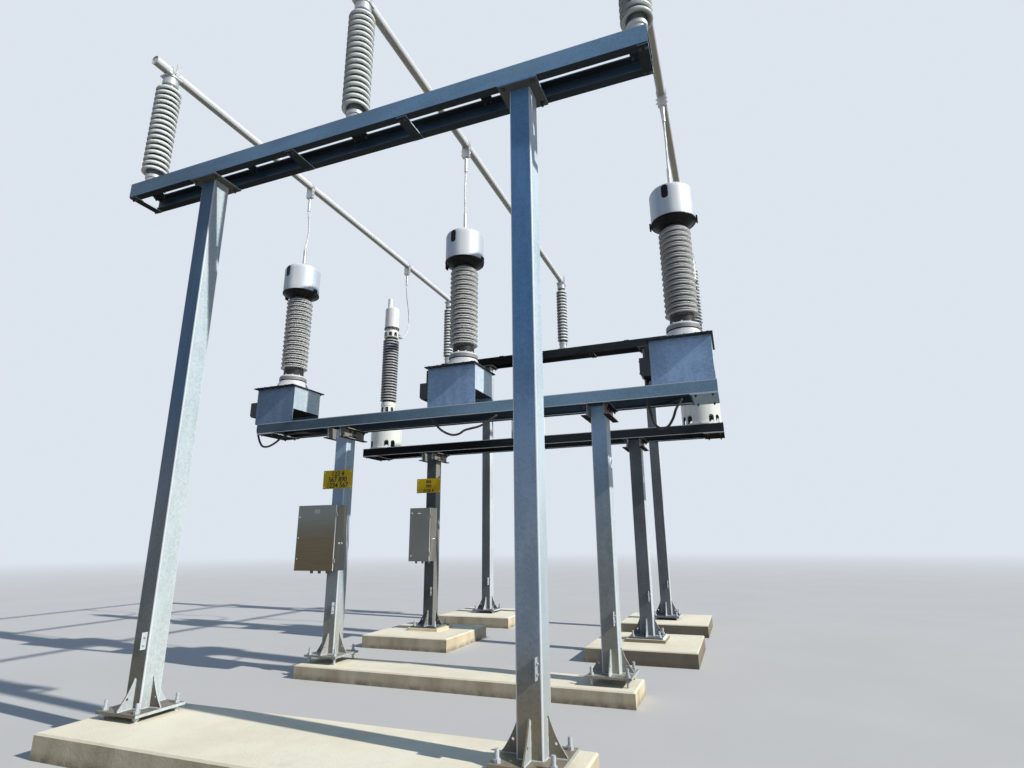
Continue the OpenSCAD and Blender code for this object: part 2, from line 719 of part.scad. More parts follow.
module vt_turret() {
    ring_h = 85;
    r0 = vt_turret_d / 2;
    r1 = vt_ring_d / 2;
    cone_h = vt_turret_h - ring_h;
    rotate_extrude() polygon([
        [0, 0], [r0, 0], [r0, 12], [r0 - (r0 - r1) * 0.45, cone_h * 0.35],
        [r1 + 6, cone_h * 0.75], [r1 - 8, cone_h], [r1, cone_h + 4], [r1, vt_turret_h - 30],
        [r1 - 10, vt_turret_h - 12], [r1 - 30, vt_turret_h], [0, vt_turret_h]]);
    translate([0, 0, vt_turret_h]) cylinder(d = vt_core_d * 1.12, h = vt_neck_h);
}

// Dark collar under a head: a wide cone with a rim and two lifting ears
module vt_collar() {
    r = vt_head_d / 2;
    h = vt_collar_h;
    ear_h = 88;
    ear_z = h * 0.45;
    rotate_extrude() polygon([
        [0, 0], [vt_core_d * 0.62, 0], [vt_core_d * 0.68, 12], [r - 46, h * 0.55], [r - 14, h * 0.8],
        [r + 6, h * 0.83], [r + 6, h - 3], [r, h], [0, h]]);
    for (s = [-1, 1]) translate([s * (r + 13) - 10, -30, ear_z]) difference() {
        cube([20, 60, ear_h]);
        translate([-1, 30, ear_h - 30]) rotate([0, 90, 0]) cylinder(d = 26, h = 22);
    }
}

// Head of a voltage transformer: a drum with a rounded shoulder, an oblong sight glass and a stud
module vt_head() {
    r = vt_head_d / 2;
    c = vt_shoulder;
    boss_h = 20;
    glass_w = 88;
    glass_h = 195;
    glass_drop = 45;
    glass_z = vt_head_h - glass_h / 2 - glass_drop;
    difference() {
        union() {
            rotate_extrude() {
                square([r - c, vt_head_h]);
                square([r, vt_head_h - c]);
                translate([r - c, vt_head_h - c]) intersection() {
                    circle(r = c);
                    square([c, c]);
                }
            }
            translate([0, 0, vt_head_h]) cylinder(d = 90, h = boss_h);
            translate([0, 0, vt_head_h + boss_h]) cylinder(d = 34, h = vt_stud_h - boss_h);
        }
        rotate([0, 0, -sight_turn]) translate([0, 14 - r, glass_z]) rotate([90, 0, 0])
            linear_extrude(40) {
                square([glass_w, glass_h - glass_w], center = true);
                for (s = [-1, 1]) translate([0, s * (glass_h - glass_w) / 2]) circle(d = glass_w);
            }
    }
}

// Terminal box on the side of a tank: its outer lower corner is cut, a narrow duct runs up to the lid
module terminal_box() {
    duct_w = 65;
    duct_d = 130;
    cut_w = 30;
    duct_h = vt_tank_h - tbox_z - tbox_h;
    translate([tbox_w / 2, tbox_d / 2, 0]) rotate([90, 0, 0]) linear_extrude(tbox_d) mirror([1, 0])
        polygon([[0, 0], [tbox_w - cut_w, 0], [tbox_w, cut_w], [tbox_w, tbox_h], [0, tbox_h]]);
    translate([tbox_w / 2 - duct_w, -duct_d / 2, tbox_h]) cube([duct_w, duct_d, duct_h]);
}

// An arch outline standing on its base line
module arch(w, h) {
    translate([-w / 2, 0]) square([w, h - w / 2]);
    translate([0, h - w / 2]) circle(d = w);
}

// Arches that point outwards at the angles given
module radial_arches(angles, r_in, r_out, w, h, z) {
    for (a = angles)
        rotate([0, 0, a]) translate([r_in, 0, z]) rotate([90, 0, 90])
            linear_extrude(r_out - r_in) arch(w, h);
}

// Round tank on an open skirt with four pairs of arches
module ct_tank() {
    r = ct_tank_d / 2;
    foot_t = 16;
    foot_in = 70;
    difference() {
        rotate_extrude() polygon([
            [r - foot_in, 0], [r + 14, 0], [r + 14, foot_t], [r, foot_t], [r, ct_tank_h - 90],
            [r - 12, ct_tank_h - 50], [r - 60, ct_tank_h - 14], [r - 90, ct_tank_h], [0, ct_tank_h],
            [0, ct_skirt_h], [r - ct_skirt_t, ct_skirt_h], [r - ct_skirt_t, foot_t],
            [r - foot_in, foot_t]]);
        radial_arches([for (a = [45, 135, 225, 315], b = [-12, 12]) a + b],
                      r - 40, r + 40, ct_arch_w, ct_arch_h, 1.5 * foot_t);
    }
}

// Fitting between tank and porcelain, with blind arches between its ribs
module ct_base() {
    d = ct_core_d;
    h = ct_base_h;
    translate([0, 0, ct_tank_h]) difference() {
        rotate_extrude() polygon([
            [0, 0], [d * 0.9, 0], [d * 0.9, 24], [d * 0.68, 44], [d * 0.64, h - 90], [d * 0.67, h - 80],
            [d * 0.67, h - 8], [d * 0.6, h], [0, h]]);
        radial_arches([22.5 : 45 : 360], d * 0.56, d, 62, h * 0.5, h * 0.17);
    }
}

// Ring with blind arches, neck, flange, head cylinder, pin and rear arm of a current transformer
module ct_head() {
    r = ct_head_d / 2;
    f = ct_fitting_h;
    g = ct_fitting_h + ct_flange_h;
    top = g + ct_head_h;
    arm_w = 80;
    ring_h = 130;
    ring_r = r + 4;
    window_w = 74;
    window_h = 92;
    difference() {
        rotate_extrude() polygon([
            [0, 0], [ring_r - 10, 0], [ring_r, 10], [ring_r, ring_h - 12], [ring_r - 10, ring_h],
            [r * 0.84, ring_h + 6], [r * 0.84, f], [r + 9, f + 6], [r + 9, g - 6], [r + 2, g], [r, g + 4],
            [r, top - 40], [r - 4, top - 26], [r - 14, top - 12], [r - 30, top - 4], [r - 52, top],
            [0, top]]);
        radial_arches([22.5 : 45 : 360], r * 0.8, r * 1.2, window_w, window_h, (ring_h - window_h) / 2);
    }
    translate([-r * 0.45, 0, top]) cylinder(d = 92, h = ct_pin_h);
    translate([-arm_w / 2, 0, arm_top - ct_fitting_z - arm_t]) cube([arm_w, ct_terminal_reach, arm_t]);
}

// A cabinet shell, open to the front, with its floor and rear wall
module cabinet(w, d, h) {
    shell_d = d - door_d - door_gap;
    difference() {
        translate([-w / 2, -shell_d, 0]) cube([w, shell_d, h]);
        translate([-w / 2 + sheet_t, -shell_d - 1, sheet_t])
            cube([w - 2 * sheet_t, shell_d - sheet_t + 1, h - 2 * sheet_t]);
    }
    for (x = [-1, 0, 1]) translate([x * gland_pitch, -shell_d / 2, -gland_h]) {
        cylinder(d = gland_d * 0.8, h = gland_h);
        translate([0, 0, gland_h * 0.6]) cylinder(d = gland_d, h = gland_h * 0.4, $fn = 6);
    }
    for (z = [h * 0.12, h * 0.88 - 2 * knuckle_l]) translate([w / 2 + hinge_out, door_d / 2 - d, z]) {
        cylinder(r = knuckle_r, h = knuckle_l);
        cylinder(r = hinge_pin_r, h = 2 * knuckle_l);
        translate([-knuckle_r, 0, 0]) cube([knuckle_r, door_d / 2 + door_gap + 30, knuckle_l]);
        translate([-hinge_out, door_d / 2 + door_gap + 5, 0]) cube([hinge_out, 25, knuckle_l]);
    }
    for (z = [0.14, 0.86])
        translate([-w / 2 + 20, 0, h * z - 20]) cube([w - 40, rail_d, 40]);
}

// A door pan with a knuckle above each pin of the cabinet
module cabinet_door(w, d, h) {
    translate([-w / 2, -d, 0]) difference() {
        cube([w, door_d, h]);
        translate([sheet_t, sheet_t, sheet_t]) cube([w - 2 * sheet_t, door_d, h - 2 * sheet_t]);
    }
    for (z = [h * 0.12, h * 0.88 - 2 * knuckle_l])
        translate([w / 2 + hinge_out, door_d / 2 - d, z + knuckle_l + 0.3]) difference() {
            union() {
                cylinder(r = knuckle_r, h = knuckle_l - 0.3);
                translate([-hinge_out, -6, 0]) cube([hinge_out, 6, knuckle_l - 0.3]);
            }
            translate([0, 0, -1]) cylinder(r = hinge_pin_r + hinge_play, h = knuckle_l + 2);
        }
}

module place_box() {
    translate([-col_x - box_shift, vt_y - col_w / 2 - rail_d, footing_h + box_z]) children();
}

module place_kiosk() {
    translate([-col_x - kiosk_shift, ct_y - col_w / 2 - rail_d, footing_h + kiosk_z]) children();
}

module sign(x, y, z) {
    translate([x - sign_w / 2, y - col_w / 2 - sign_t, footing_h + z]) cube([sign_w, sign_t, sign_h]);
}

module bus(x) {
    l = rear_y + 2 * bus_overhang;
    color(cast_metal) translate([x, rear_y + bus_overhang, footing_h + bus_height]) rotate([90, 0, 0])
        difference() {
            cylinder(r = bus_r, h = l);
            translate([0, 0, -1]) cylinder(r = bus_r - bus_wall, h = l + 2);
        }
}

module front_footing() { color(concrete) footing_front(); }
module front_column_left() { color(galvanised) high_column(-col_x, front_y); }
module front_column_right() { color(galvanised) high_column(col_x, front_y); }
module front_beam() { color(galvanised) high_beam(front_y); }
module front_insulators() {
    color(porcelain_grey) post_positions(front_y) translate([0, 0, post_base_h])
        porcelain(post_core_d, front_shed_d, post_porcelain_h, post_sheds);
}
module front_fittings() { color(cast_metal) post_positions(front_y) post_fittings(); }
module front_clamps() {
    color(cast_metal) for (x = phases) translate([x, front_y, footing_h]) post_clamp([1]);
}
module vt_footing() {
    color(concrete) translate([0, vt_y - vt_strip_shift, 0])
        footing(vt_strip_l, vt_strip_w, footing_h - vt_strip_drop);
}
module vt_column_left() { color(galvanised) low_column(-col_x, vt_y); }
module vt_column_right() { color(galvanised) low_column(col_x, vt_y); }
module cross_brackets() {
    color(galvanised) for (x = [-col_x, col_x], y = [vt_y, ct_y]) bracket_pair(x, y);
}
module vt_beam() { color(galvanised) low_beam(vt_y); }
module vt_tanks() {
    color(galvanised) for (x = phases)
        translate([x - vt_tank_shift, vt_y, footing_h + low_beam_top]) vt_tank();
}
module vt_turrets() {
    color(cast_metal) for (x = phases) translate([x, vt_y, footing_h + vt_lid_top]) vt_turret();
}
module vt_porcelain() {
    big_r = vt_shed_d / 2;
    color(porcelain_grey) for (x = phases) translate([x, vt_y, footing_h + vt_porcelain_z]) rotate_extrude()
        polygon(double_shed_points(vt_core_d / 2, big_r, big_r - 14, vt_porcelain_h, vt_sheds));
}
module vt_heads() {
    color(cast_metal) for (x = phases) translate([x, vt_y, footing_h + vt_head_z]) vt_head();
}
module vt_collars() {
    color([0.05, 0.05, 0.05]) for (x = phases) translate([x, vt_y, footing_h + vt_collar_z]) vt_collar();
}
module vt_terminal_boxes() {
    color(galvanised) for (x = phases)
        translate([x + tbox_x, vt_y - tbox_out, footing_h + tbox_bottom]) terminal_box();
}
module vt_conduits() {
    color([0.04, 0.04, 0.04]) for (route = [conduit_left, conduit_middle, conduit_right])
        translate([0, vt_y, footing_h]) swept_tube(route, conduit_d);
}
module dropper_clamps() {
    color(cast_metal) for (x = phases) {
        for (y = [vt_y, ct_y + ct_clamp_out]) translate([x, y, footing_h + bus_height]) dropper_clamp();
        translate([x, vt_y, footing_h + vt_stud_top]) cylinder(d = barrel_d, h = barrel_fit);
        translate([x, ct_y + ct_terminal_reach, footing_h + arm_barrel_z]) rotate([90, 0, 0])
            cylinder(d = barrel_d, h = arm_barrel_l);
    }
}
module dropper_leads() {
    color(cast_metal) for (i = [0 : len(phases) - 1]) {
        translate([phases[i], vt_y, footing_h]) swept_tube(vt_lead(vt_lead_bow[i]), lead_d);
        translate([phases[i], ct_y, footing_h]) swept_tube(ct_lead(), lead_d);
    }
}
module marshalling_box() { color([0.45, 0.45, 0.44]) place_box() cabinet(box_w, box_d, box_h); }
module marshalling_door() { color([0.45, 0.45, 0.44]) place_box() cabinet_door(box_w, box_d, box_h); }
module ct_pads() { color(concrete) pads(ct_y - ct_pad_shift); }
module ct_column_left() { color(galvanised) low_column(-col_x, ct_y); }
module ct_column_right() { color(galvanised) low_column(col_x, ct_y); }
module ct_grout() {
    color(concrete) for (x = [-col_x, col_x])
        translate([x, ct_y, footing_h]) difference() {
            translate([-grout_w / 2, -grout_w / 2, 0]) cube([grout_w, grout_w, level_gap]);
            for (dx = [-1, 1], dy = [-1, 1])
                translate([dx * anchor_pitch / 2, dy * anchor_pitch / 2, -1])
                    cylinder(d = anchor_d + 2 * seat_play, h = level_gap + 2);
        }
}
module ct_beam() { color(galvanised) low_beam(ct_y); }
module ct_tanks() {
    color(cast_metal) for (x = phases) translate([x, ct_y, footing_h + low_beam_top]) {
        ct_tank();
        ct_base();
    }
}
module ct_porcelain() {
    color(porcelain_brown) for (x = phases) translate([x, ct_y, footing_h + ct_porcelain_z])
        porcelain(ct_core_d, ct_shed_d, ct_porcelain_h, ct_sheds);
}
module ct_heads() {
    color(cast_metal) for (x = phases) translate([x, ct_y, footing_h + ct_fitting_z]) ct_head();
}
module kiosk_box() { color([0.5, 0.5, 0.5]) place_kiosk() cabinet(kiosk_w, kiosk_d, kiosk_h); }
module kiosk_door() { color([0.5, 0.5, 0.5]) place_kiosk() cabinet_door(kiosk_w, kiosk_d, kiosk_h); }
module sign_plates() {
    color([0.8, 0.65, 0.1]) {
        sign(-col_x - sign_shift, vt_y, box_z + box_h + box_sign_gap);
        sign(-col_x - kiosk_shift, ct_y, kiosk_z + kiosk_h + kiosk_sign_gap);
    }
}
module rear_pads() { color(concrete) pads(rear_y); }
module rear_column_left() { color(galvanised) high_column(-col_x, rear_y); }
module rear_column_right() { color(galvanised) high_column(col_x, rear_y); }
module rear_beam() { color(galvanised) high_beam(rear_y); }
module rear_insulators() {
    color(porcelain_grey) post_positions(rear_y) translate([0, 0, post_base_h])
        porcelain(post_core_d * 0.88, rear_shed_d, post_porcelain_h, post_sheds);
}
module rear_fittings() { color(cast_metal) post_positions(rear_y) post_fittings(); }
module rear_clamps() {
    color(cast_metal) for (x = phases) translate([x, rear_y, footing_h]) post_clamp([-1, 1]);
}
module bus_left() { bus(-phase_pitch); }
module bus_middle() { bus(0); }
module bus_right() { bus(phase_pitch); }
module anchor_bolts() {
    color(galvanised) for (x = [-col_x, col_x]) {
        for (y = [front_y, rear_y]) column_anchors(x, y, true, 0);
        column_anchors(x, vt_y, true, vt_strip_drop);
        column_anchors(x, ct_y, false, 0);
    }
}

front_footing();
front_column_left();
front_column_right();
front_beam();
front_insulators();
front_fittings();
front_clamps();
vt_footing();
vt_column_left();
vt_column_right();
vt_beam();
vt_tanks();
vt_turrets();
vt_porcelain();
vt_collars();
vt_heads();
vt_terminal_boxes();
vt_conduits();
cross_brackets();
marshalling_box();
marshalling_door();
ct_pads();
ct_column_left();
ct_column_right();
ct_grout();
ct_beam();
ct_tanks();
ct_porcelain();
ct_heads();
kiosk_box();
kiosk_door();
sign_plates();
rear_pads();
rear_column_left();
rear_column_right();
rear_beam();
rear_insulators();
rear_fittings();
rear_clamps();
dropper_clamps();
dropper_leads();
bus_left();
bus_middle();
bus_right();
anchor_bolts();
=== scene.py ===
import math
import random

import bpy
from mathutils import Matrix, Vector


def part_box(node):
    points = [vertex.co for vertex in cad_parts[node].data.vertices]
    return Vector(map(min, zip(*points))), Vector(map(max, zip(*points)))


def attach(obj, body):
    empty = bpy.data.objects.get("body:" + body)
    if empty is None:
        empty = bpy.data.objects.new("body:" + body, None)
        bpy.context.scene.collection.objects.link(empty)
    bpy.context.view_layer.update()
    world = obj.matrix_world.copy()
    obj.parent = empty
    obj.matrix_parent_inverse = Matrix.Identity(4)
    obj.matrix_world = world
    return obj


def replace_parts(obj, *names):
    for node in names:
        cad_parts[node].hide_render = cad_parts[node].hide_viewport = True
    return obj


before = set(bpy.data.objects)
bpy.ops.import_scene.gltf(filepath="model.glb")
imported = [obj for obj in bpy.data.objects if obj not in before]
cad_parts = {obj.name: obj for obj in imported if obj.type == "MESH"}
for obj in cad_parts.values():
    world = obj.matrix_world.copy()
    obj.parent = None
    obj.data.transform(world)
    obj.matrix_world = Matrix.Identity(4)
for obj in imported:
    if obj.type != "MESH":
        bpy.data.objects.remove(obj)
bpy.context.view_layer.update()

# Sizes and places that the source gives, in metres
PHASE_PITCH = 3.0
PHASES = (-PHASE_PITCH, 0.0, PHASE_PITCH)
COLUMNS = (-1.91, 1.91)
FRONT_Y, VT_Y, CT_Y, REAR_Y = 0.0, 2.73, 5.46, 8.04
FOOTING = 0.2
HIGH_BEAM = 5.56 + FOOTING
HIGH_TOP = HIGH_BEAM + 0.192
LOW_BEAM = 3.11 + FOOTING
LOW_TOP = LOW_BEAM + 0.15
BUS_Z = 7.512 + FOOTING
PALM_Z = BUS_Z - 0.222
VT_LID = LOW_TOP + 0.559
VT_HEAD = VT_LID + 1.655
VT_STUD = VT_HEAD + 0.555
CT_PORCELAIN = LOW_TOP + 0.96
CT_FITTING = CT_PORCELAIN + 1.38
CT_HEAD = CT_FITTING + 0.23
ARM_Z = CT_FITTING + 0.14
PLATE_TOP = FOOTING + 0.07
CLAMP_FOOT = BUS_Z - 0.0703
CT_CLAMP = 0.508
BOLT_ROW = 0.145
FLANGE, CAP_PLATE, BATTEN = 0.013, 0.016, 0.012
TOP_GRIP = FLANGE + BATTEN
BOX_WIDTH, KIOSK_WIDTH = 0.63, 0.41

# Directions
UP, DOWN, FRONT = (0, 0, 1), (0, 0, -1), (0, -1, 0)
RIGHT, LEFT = (1, 0, 0), (-1, 0, 0)

# The photograph's camera: focal length and picture width in pixels, sensor in millimetres
EYE = Vector((3.3921, -4.2659, 1.7155))
YAW, PITCH, ROLL = (math.radians(a) for a in (-20.824, 15.159, -0.566))
FOCAL, PICTURE_WIDTH, SENSOR = 574.5, 1024, 36

# The light: a hard sun and a deep blue sky
SUN_FROM = Vector((0.80, -0.085, 0.596))
SUN_POWER = 3.7
SUN_WIDTH = math.radians(0.8)
SUN_COLOUR = (1.0, 0.98, 0.94)
SKY_POWER = 0.31
SKY_COLOUR = (0.42, 0.64, 1.0, 1)

# The backdrop, and the colours that the zinc of all pieces shares: plain zinc, painted sunlight, and painted
# shade on undersides
BACKDROP = (0.72, 0.78, 0.86, 1)
CLEAN_ZINC = (0.36, 0.39, 0.415)
SUNLIT_ZINC = (0.80, 0.91, 0.92)
UNDERSIDE_SHADE = (0.030, 0.024, 0.016)
random.seed(7)


def new_object(name, data):
    made = bpy.data.objects.new(name, data)
    bpy.context.scene.collection.objects.link(made)
    return made


def make_camera():
    ahead = Vector((math.cos(PITCH) * math.sin(YAW), math.cos(PITCH) * math.cos(YAW), math.sin(PITCH)))
    right = Vector((math.cos(YAW), -math.sin(YAW), 0))
    above = right.cross(ahead)
    x = math.cos(ROLL) * right + math.sin(ROLL) * above
    y = math.cos(ROLL) * above - math.sin(ROLL) * right
    data = bpy.data.cameras.new("camera")
    data.sensor_width = SENSOR
    data.sensor_fit = "HORIZONTAL"
    data.lens = SENSOR * FOCAL / PICTURE_WIDTH
    data.clip_end = 2000
    camera = new_object("camera", data)
    camera.matrix_world = Matrix.Translation(EYE) @ Matrix((x, y, -ahead)).transposed().to_4x4()
    bpy.context.scene.camera = camera


# Materials


class Nodes:
    """The nodes of a material or of the world."""

    def __init__(self, tree):
        self.nodes, self.links = tree.nodes, tree.links

    def put(self, socket, value):
        if isinstance(value, bpy.types.NodeSocket):
            self.links.new(value, socket)
        else:
            socket.default_value = value

    def node(self, kind, **inputs):
        """A new node. The names of its inputs have an underscore for each space."""
        made = self.nodes.new("ShaderNode" + kind)
        for key, value in inputs.items():
            self.put(made.inputs[key.replace("_", " ")], value)
        return made

    def calc(self, operation, *values):
        made = self.node("Math")
        made.operation = operation
        for socket, value in zip(made.inputs, values):
            self.put(socket, value)
        return made.outputs[0]

    def plus(self, first, *others):
        for value in others:
            first = self.calc("ADD", first, value)
        return first

    def times(self, first, *others):
        for value in others:
            first = self.calc("MULTIPLY", first, value)
        return first

    def over(self, value, limit):
        return self.calc("GREATER_THAN", value, limit)

    def under(self, value, limit):
        return self.calc("LESS_THAN", value, limit)

    def seen(self):
        """1 where the camera looks, straight, by a reflection or through a pane, and else 0."""
        ray = self.node("LightPath").outputs
        rays = self.plus(ray["Is Camera Ray"], ray["Is Glossy Ray"], ray["Is Transmission Ray"])
        return self.calc("MINIMUM", rays, 1.0)

    def blend(self, share, first, second, output):
        mixer = self.node("MixShader")
        for socket, value in zip(mixer.inputs, (share, first.outputs[0], second.outputs[0])):
            self.put(socket, value)
        self.links.new(mixer.outputs[0], self.nodes[output].inputs[0])


class Look(Nodes):
    """A material in the making. Its patterns run on object coordinates, in metres."""

    def __init__(self, name, **fixed):
        self.mat = bpy.data.materials.new(name)
        self.mat.use_nodes = True
        super().__init__(self.mat.node_tree)
        self.shader = self.nodes["Principled BSDF"]
        for key, value in fixed.items():
            self.shader.inputs[key.replace("_", " ")].default_value = value
        self.place = self.node("TexCoord").outputs["Object"]

    def noise(self, scale, detail=3, rough=0.55, stretch=None):
        place = self.node("Mapping", Vector=self.place, Scale=stretch).outputs[0] if stretch else self.place
        made = self.node("TexNoise", Vector=place, Scale=scale, Detail=detail, Roughness=rough)
        return made.outputs["Fac"]

    def cells(self, scale):
        """A value for each cell, and the distance from its middle."""
        made = self.node("TexVoronoi", Vector=self.place, Scale=scale)
        return self.node("SeparateColor", Color=made.outputs["Color"]).outputs[0], made.outputs["Distance"]

    def axes(self, source=None):
        return self.node("SeparateXYZ", Vector=source or self.place).outputs

    def normal(self):
        return self.axes(self.node("NewGeometry").outputs["Normal"])

    def between(self, value, low, high, to_low=0.0, to_high=1.0):
        made = self.node("MapRange", Value=value, From_Min=low, From_Max=high, To_Min=to_low, To_Max=to_high)
        made.interpolation_type = "SMOOTHSTEP"
        return made.outputs[0]

    def ramp(self, value, *stops):
        made = self.node("ValToRGB", Fac=value)
        bands = made.color_ramp.elements
        while len(bands) < len(stops):
            bands.new(0.5)
        for band, (at, colour) in zip(bands, stops):
            band.position = at
            band.color = (*colour, 1)
        return made.outputs[0]

    def mix(self, share, a, b, kind="MIX"):
        made = self.node("Mix")
        made.data_type = "RGBA"
        made.blend_type = kind
        self.put(made.inputs[0], share)
        self.put(made.inputs[6], a if isinstance(a, bpy.types.NodeSocket) else (*a, 1))
        self.put(made.inputs[7], b if isinstance(b, bpy.types.NodeSocket) else (*b, 1))
        return made.outputs[2]

    def bump(self, *layers):
        """Each layer is (height, depth in metres)."""
        last = None
        for height, depth in layers:
            made = self.node("Bump", Distance=depth, Height=height)
            if last:
                self.put(made.inputs["Normal"], last)
            last = made.outputs[0]
        self.put(self.shader.inputs["Normal"], last)

    def done(self, colour, roughness=None):
        self.put(self.shader.inputs["Base Color"], colour)
        if roughness is not None:
            self.put(self.shader.inputs["Roughness"], roughness)
        return self.mat


def shade(colour, by):
    return tuple(by * c for c in colour)


def by_height(m, high, low, foot):
    """The zinc of a post: high up a painted reflection of the blue sky, plainer lower down and browner at
    its foot.
    """
    z = m.axes()[2]
    colour = m.mix(m.between(z, 1.4, 3.6, 1.0, 0.0), high, low)
    return m.mix(m.between(z, 0.5, 1.3, 1.0, 0.0), colour, foot)


def clean_back(m, colour):
    """Plain zinc on the faces towards -X and +Y and, above eye height, on the tops, in place of the painted
    sky reflection and shade on the other faces.
    """
    normal = m.normal()
    away = m.calc("MAXIMUM", m.between(normal[0], -0.8, -0.3, 1.0, 0.0), m.between(normal[1], 0.3, 0.8))
    above = m.times(m.between(normal[2], 0.3, 0.8), m.between(m.axes()[2], 1.5, 2.0))
    return m.mix(m.calc("MAXIMUM", away, above), colour, CLEAN_ZINC)


def painted_sunlit_side(m, colour, tone, lit, lit_low, share):
    """Painted sunlight on the faces towards +X, lit_low times as pale near the ground."""
    side = m.times(m.between(m.normal()[0], 0.4, 0.9, 0.0, share), m.between(tone, 0.38, 0.6, 0.75, 1.0))
    sun_side = m.mix(m.between(m.axes()[2], 0.6, 3.0, 1.0, 0.0), lit, shade(lit, lit_low))
    return m.mix(side, colour, sun_side)


def painted_corner_highlights(m, colour):
    """Painted highlights on the rounded corners of a post, where both the X and the Y of the normal are
    large.
    """
    normal = m.normal()
    corner = m.over(m.calc("ABSOLUTE", m.times(normal[0], normal[1])), 0.12)
    return m.mix(m.times(corner, 0.75), colour, (0.86, 0.90, 0.92))


def shaded_web(m, colour, middle):
    """Painted shade on the inner faces of a beam's two channels, which look at its middle."""
    inward = m.times(m.normal()[1], m.calc("SUBTRACT", middle, m.axes()[1]))
    return m.mix(m.times(m.over(inward, 0.01), 0.78), colour, (0.008, 0.028, 0.05))


def painted_edge_highlights(m, colour, low, high):
    """Painted highlights along the flanges, at the bottom and the top of a beam."""
    z, strip = m.axes()[2], 0.009
    ends = m.calc("MAXIMUM", m.under(z, low + strip), m.over(z, high - strip))
    upright = m.under(m.calc("ABSOLUTE", m.normal()[2]), 0.5)
    return m.mix(m.times(ends, upright, 0.7), colour, (0.86, 0.92, 0.92))


def painted_underside_shade(m, sunlit_end, lid):
    """Painted shade on undersides, kept off a beam's sunlit +X end, and a painted shadow on the rim under a
    lid.
    """
    x, z, up = m.axes()[0], m.axes()[2], m.normal()[2]
    end, rim_depth = 3.03, 0.016
    dirt_and_shade = m.between(up, -0.95, -0.6, 0.9, 0.0)
    if sunlit_end:
        dirt_and_shade = m.times(dirt_and_shade, m.between(x, end, end + 0.02, 1.0, 0.1))
    if lid is not None:
        rim = m.times(m.over(z, lid - rim_depth), m.under(up, 0.5))
        dirt_and_shade = m.calc("MAXIMUM", dirt_and_shade, m.times(rim, 0.9))
    return dirt_and_shade


def galvanised(name, mean, lower=None, fade=0.0, span=(-3.4, 0.8), spread=0.16, grain=55,
               stretch=(1, 1, 0.16), bloom=0.25, lit=SUNLIT_ZINC, share=0.75, lit_low=0.9, middle=None,
               edges=None, sunlit_end=False, lid=None, underside_shade_colour=UNDERSIDE_SHADE, metallic=0.05, shine=0.2):
    """Hot-dip zinc: small spangles, soft clouds, runs along the dip and chalky bloom, with painted sunlight
    on the faces towards +X and painted shade on undersides.

    Posts have two more colours lower down. Beams darken into painted shade from one X of the span to the
    other."""
    m = Look(name, Metallic=metallic)
    spangle = m.cells(grain)[0]
    run = m.noise(9, 3, 0.5, stretch=stretch)
    tone = m.plus(m.times(spangle, 0.13), m.times(m.noise(1.1, 4, 0.5), 0.55), m.times(run, 0.32))
    colour = by_height(m, mean, *lower) if lower else mean
    # painted shade, deeper towards one end of the span
    if fade:
        colour = m.mix(m.between(m.axes()[0], *span, fade, 0.0), colour, shade(mean, 0.06))
    colour = clean_back(m, colour)
    colour = m.mix(1.0, colour, m.between(tone, 0.36, 0.64, 1 - spread, 1 + spread), "MULTIPLY")
    chalk = m.between(m.noise(3.1, 6, 0.66), 0.56, 0.72, 0.0, bloom)
    colour = m.mix(chalk, colour, tuple(0.5 * c + 0.2 for c in mean))
    # painted sunlight on the faces towards +X
    colour = painted_sunlit_side(m, colour, tone, lit, lit_low, share)
    if lower:
        colour = painted_corner_highlights(m, colour)
    if middle is not None:
        colour = shaded_web(m, colour, middle)
    if edges:
        colour = painted_edge_highlights(m, colour, *edges)
    # painted shade on undersides and a painted shadow under a lid's rim
    dirt_and_shade = painted_underside_shade(m, sunlit_end, lid)
    colour = m.mix(dirt_and_shade, colour, underside_shade_colour)
    speck = m.between(m.cells(21)[1], 0.035, 0.06, 0.2, 0.0)
    colour = m.mix(speck, colour, shade(mean, 0.4))
    m.bump((spangle, 0.0002), (m.noise(160, 2), 0.0004))
    m.put(m.shader.inputs["Specular IOR Level"], m.between(dirt_and_shade, 0.0, 0.9, shine, 0.0))
    rough = m.plus(m.between(spangle, 0, 1, 0.42, 0.54), m.times(chalk, 0.6))
    return m.done(colour, rough)


def from_axis(m, row):
    """Distance from the upright axis of the nearest phase in a row across the bay."""
    x, y = m.axes()[0:2]
    phase = m.times(m.calc("ROUND", m.calc("DIVIDE", x, PHASE_PITCH)), PHASE_PITCH)
    off, back = m.calc("SUBTRACT", x, phase), m.calc("SUBTRACT", y, row)
    return m.calc("SQRT", m.plus(m.times(off, off), m.times(back, back)))


def porcelain(name, row, core, rim, gap_shade, glaze, dust, dusty):
    """Glazed sheds: pale lips, painted shade down in the gaps round the core and on the side towards -X,
    dust on top.
    """
    m = Look(name, Roughness=0.34, Specular_IOR_Level=0.2)
    normal = m.normal()
    # painted shade down in the gaps near the core
    deep = m.between(from_axis(m, row), core, rim)
    lips = m.ramp(m.noise(2.6, 4), (0.3, shade(glaze, 0.92)), (0.7, glaze))
    colour = m.mix(deep, gap_shade, lips)
    grime = m.times(m.between(normal[2], -0.1, 0.75), m.between(m.noise(5, 3), 0.35, 0.75, 0.3, 1.0))
    colour = m.mix(m.times(grime, dusty), colour, dust)
    # painted shade on the side towards -X
    colour = m.mix(m.between(normal[0], -0.72, 0.32, 0.9, 0.0), colour, shade(glaze, 0.12))
    m.bump((m.noise(90, 2), 0.0003))
    return m.done(colour)


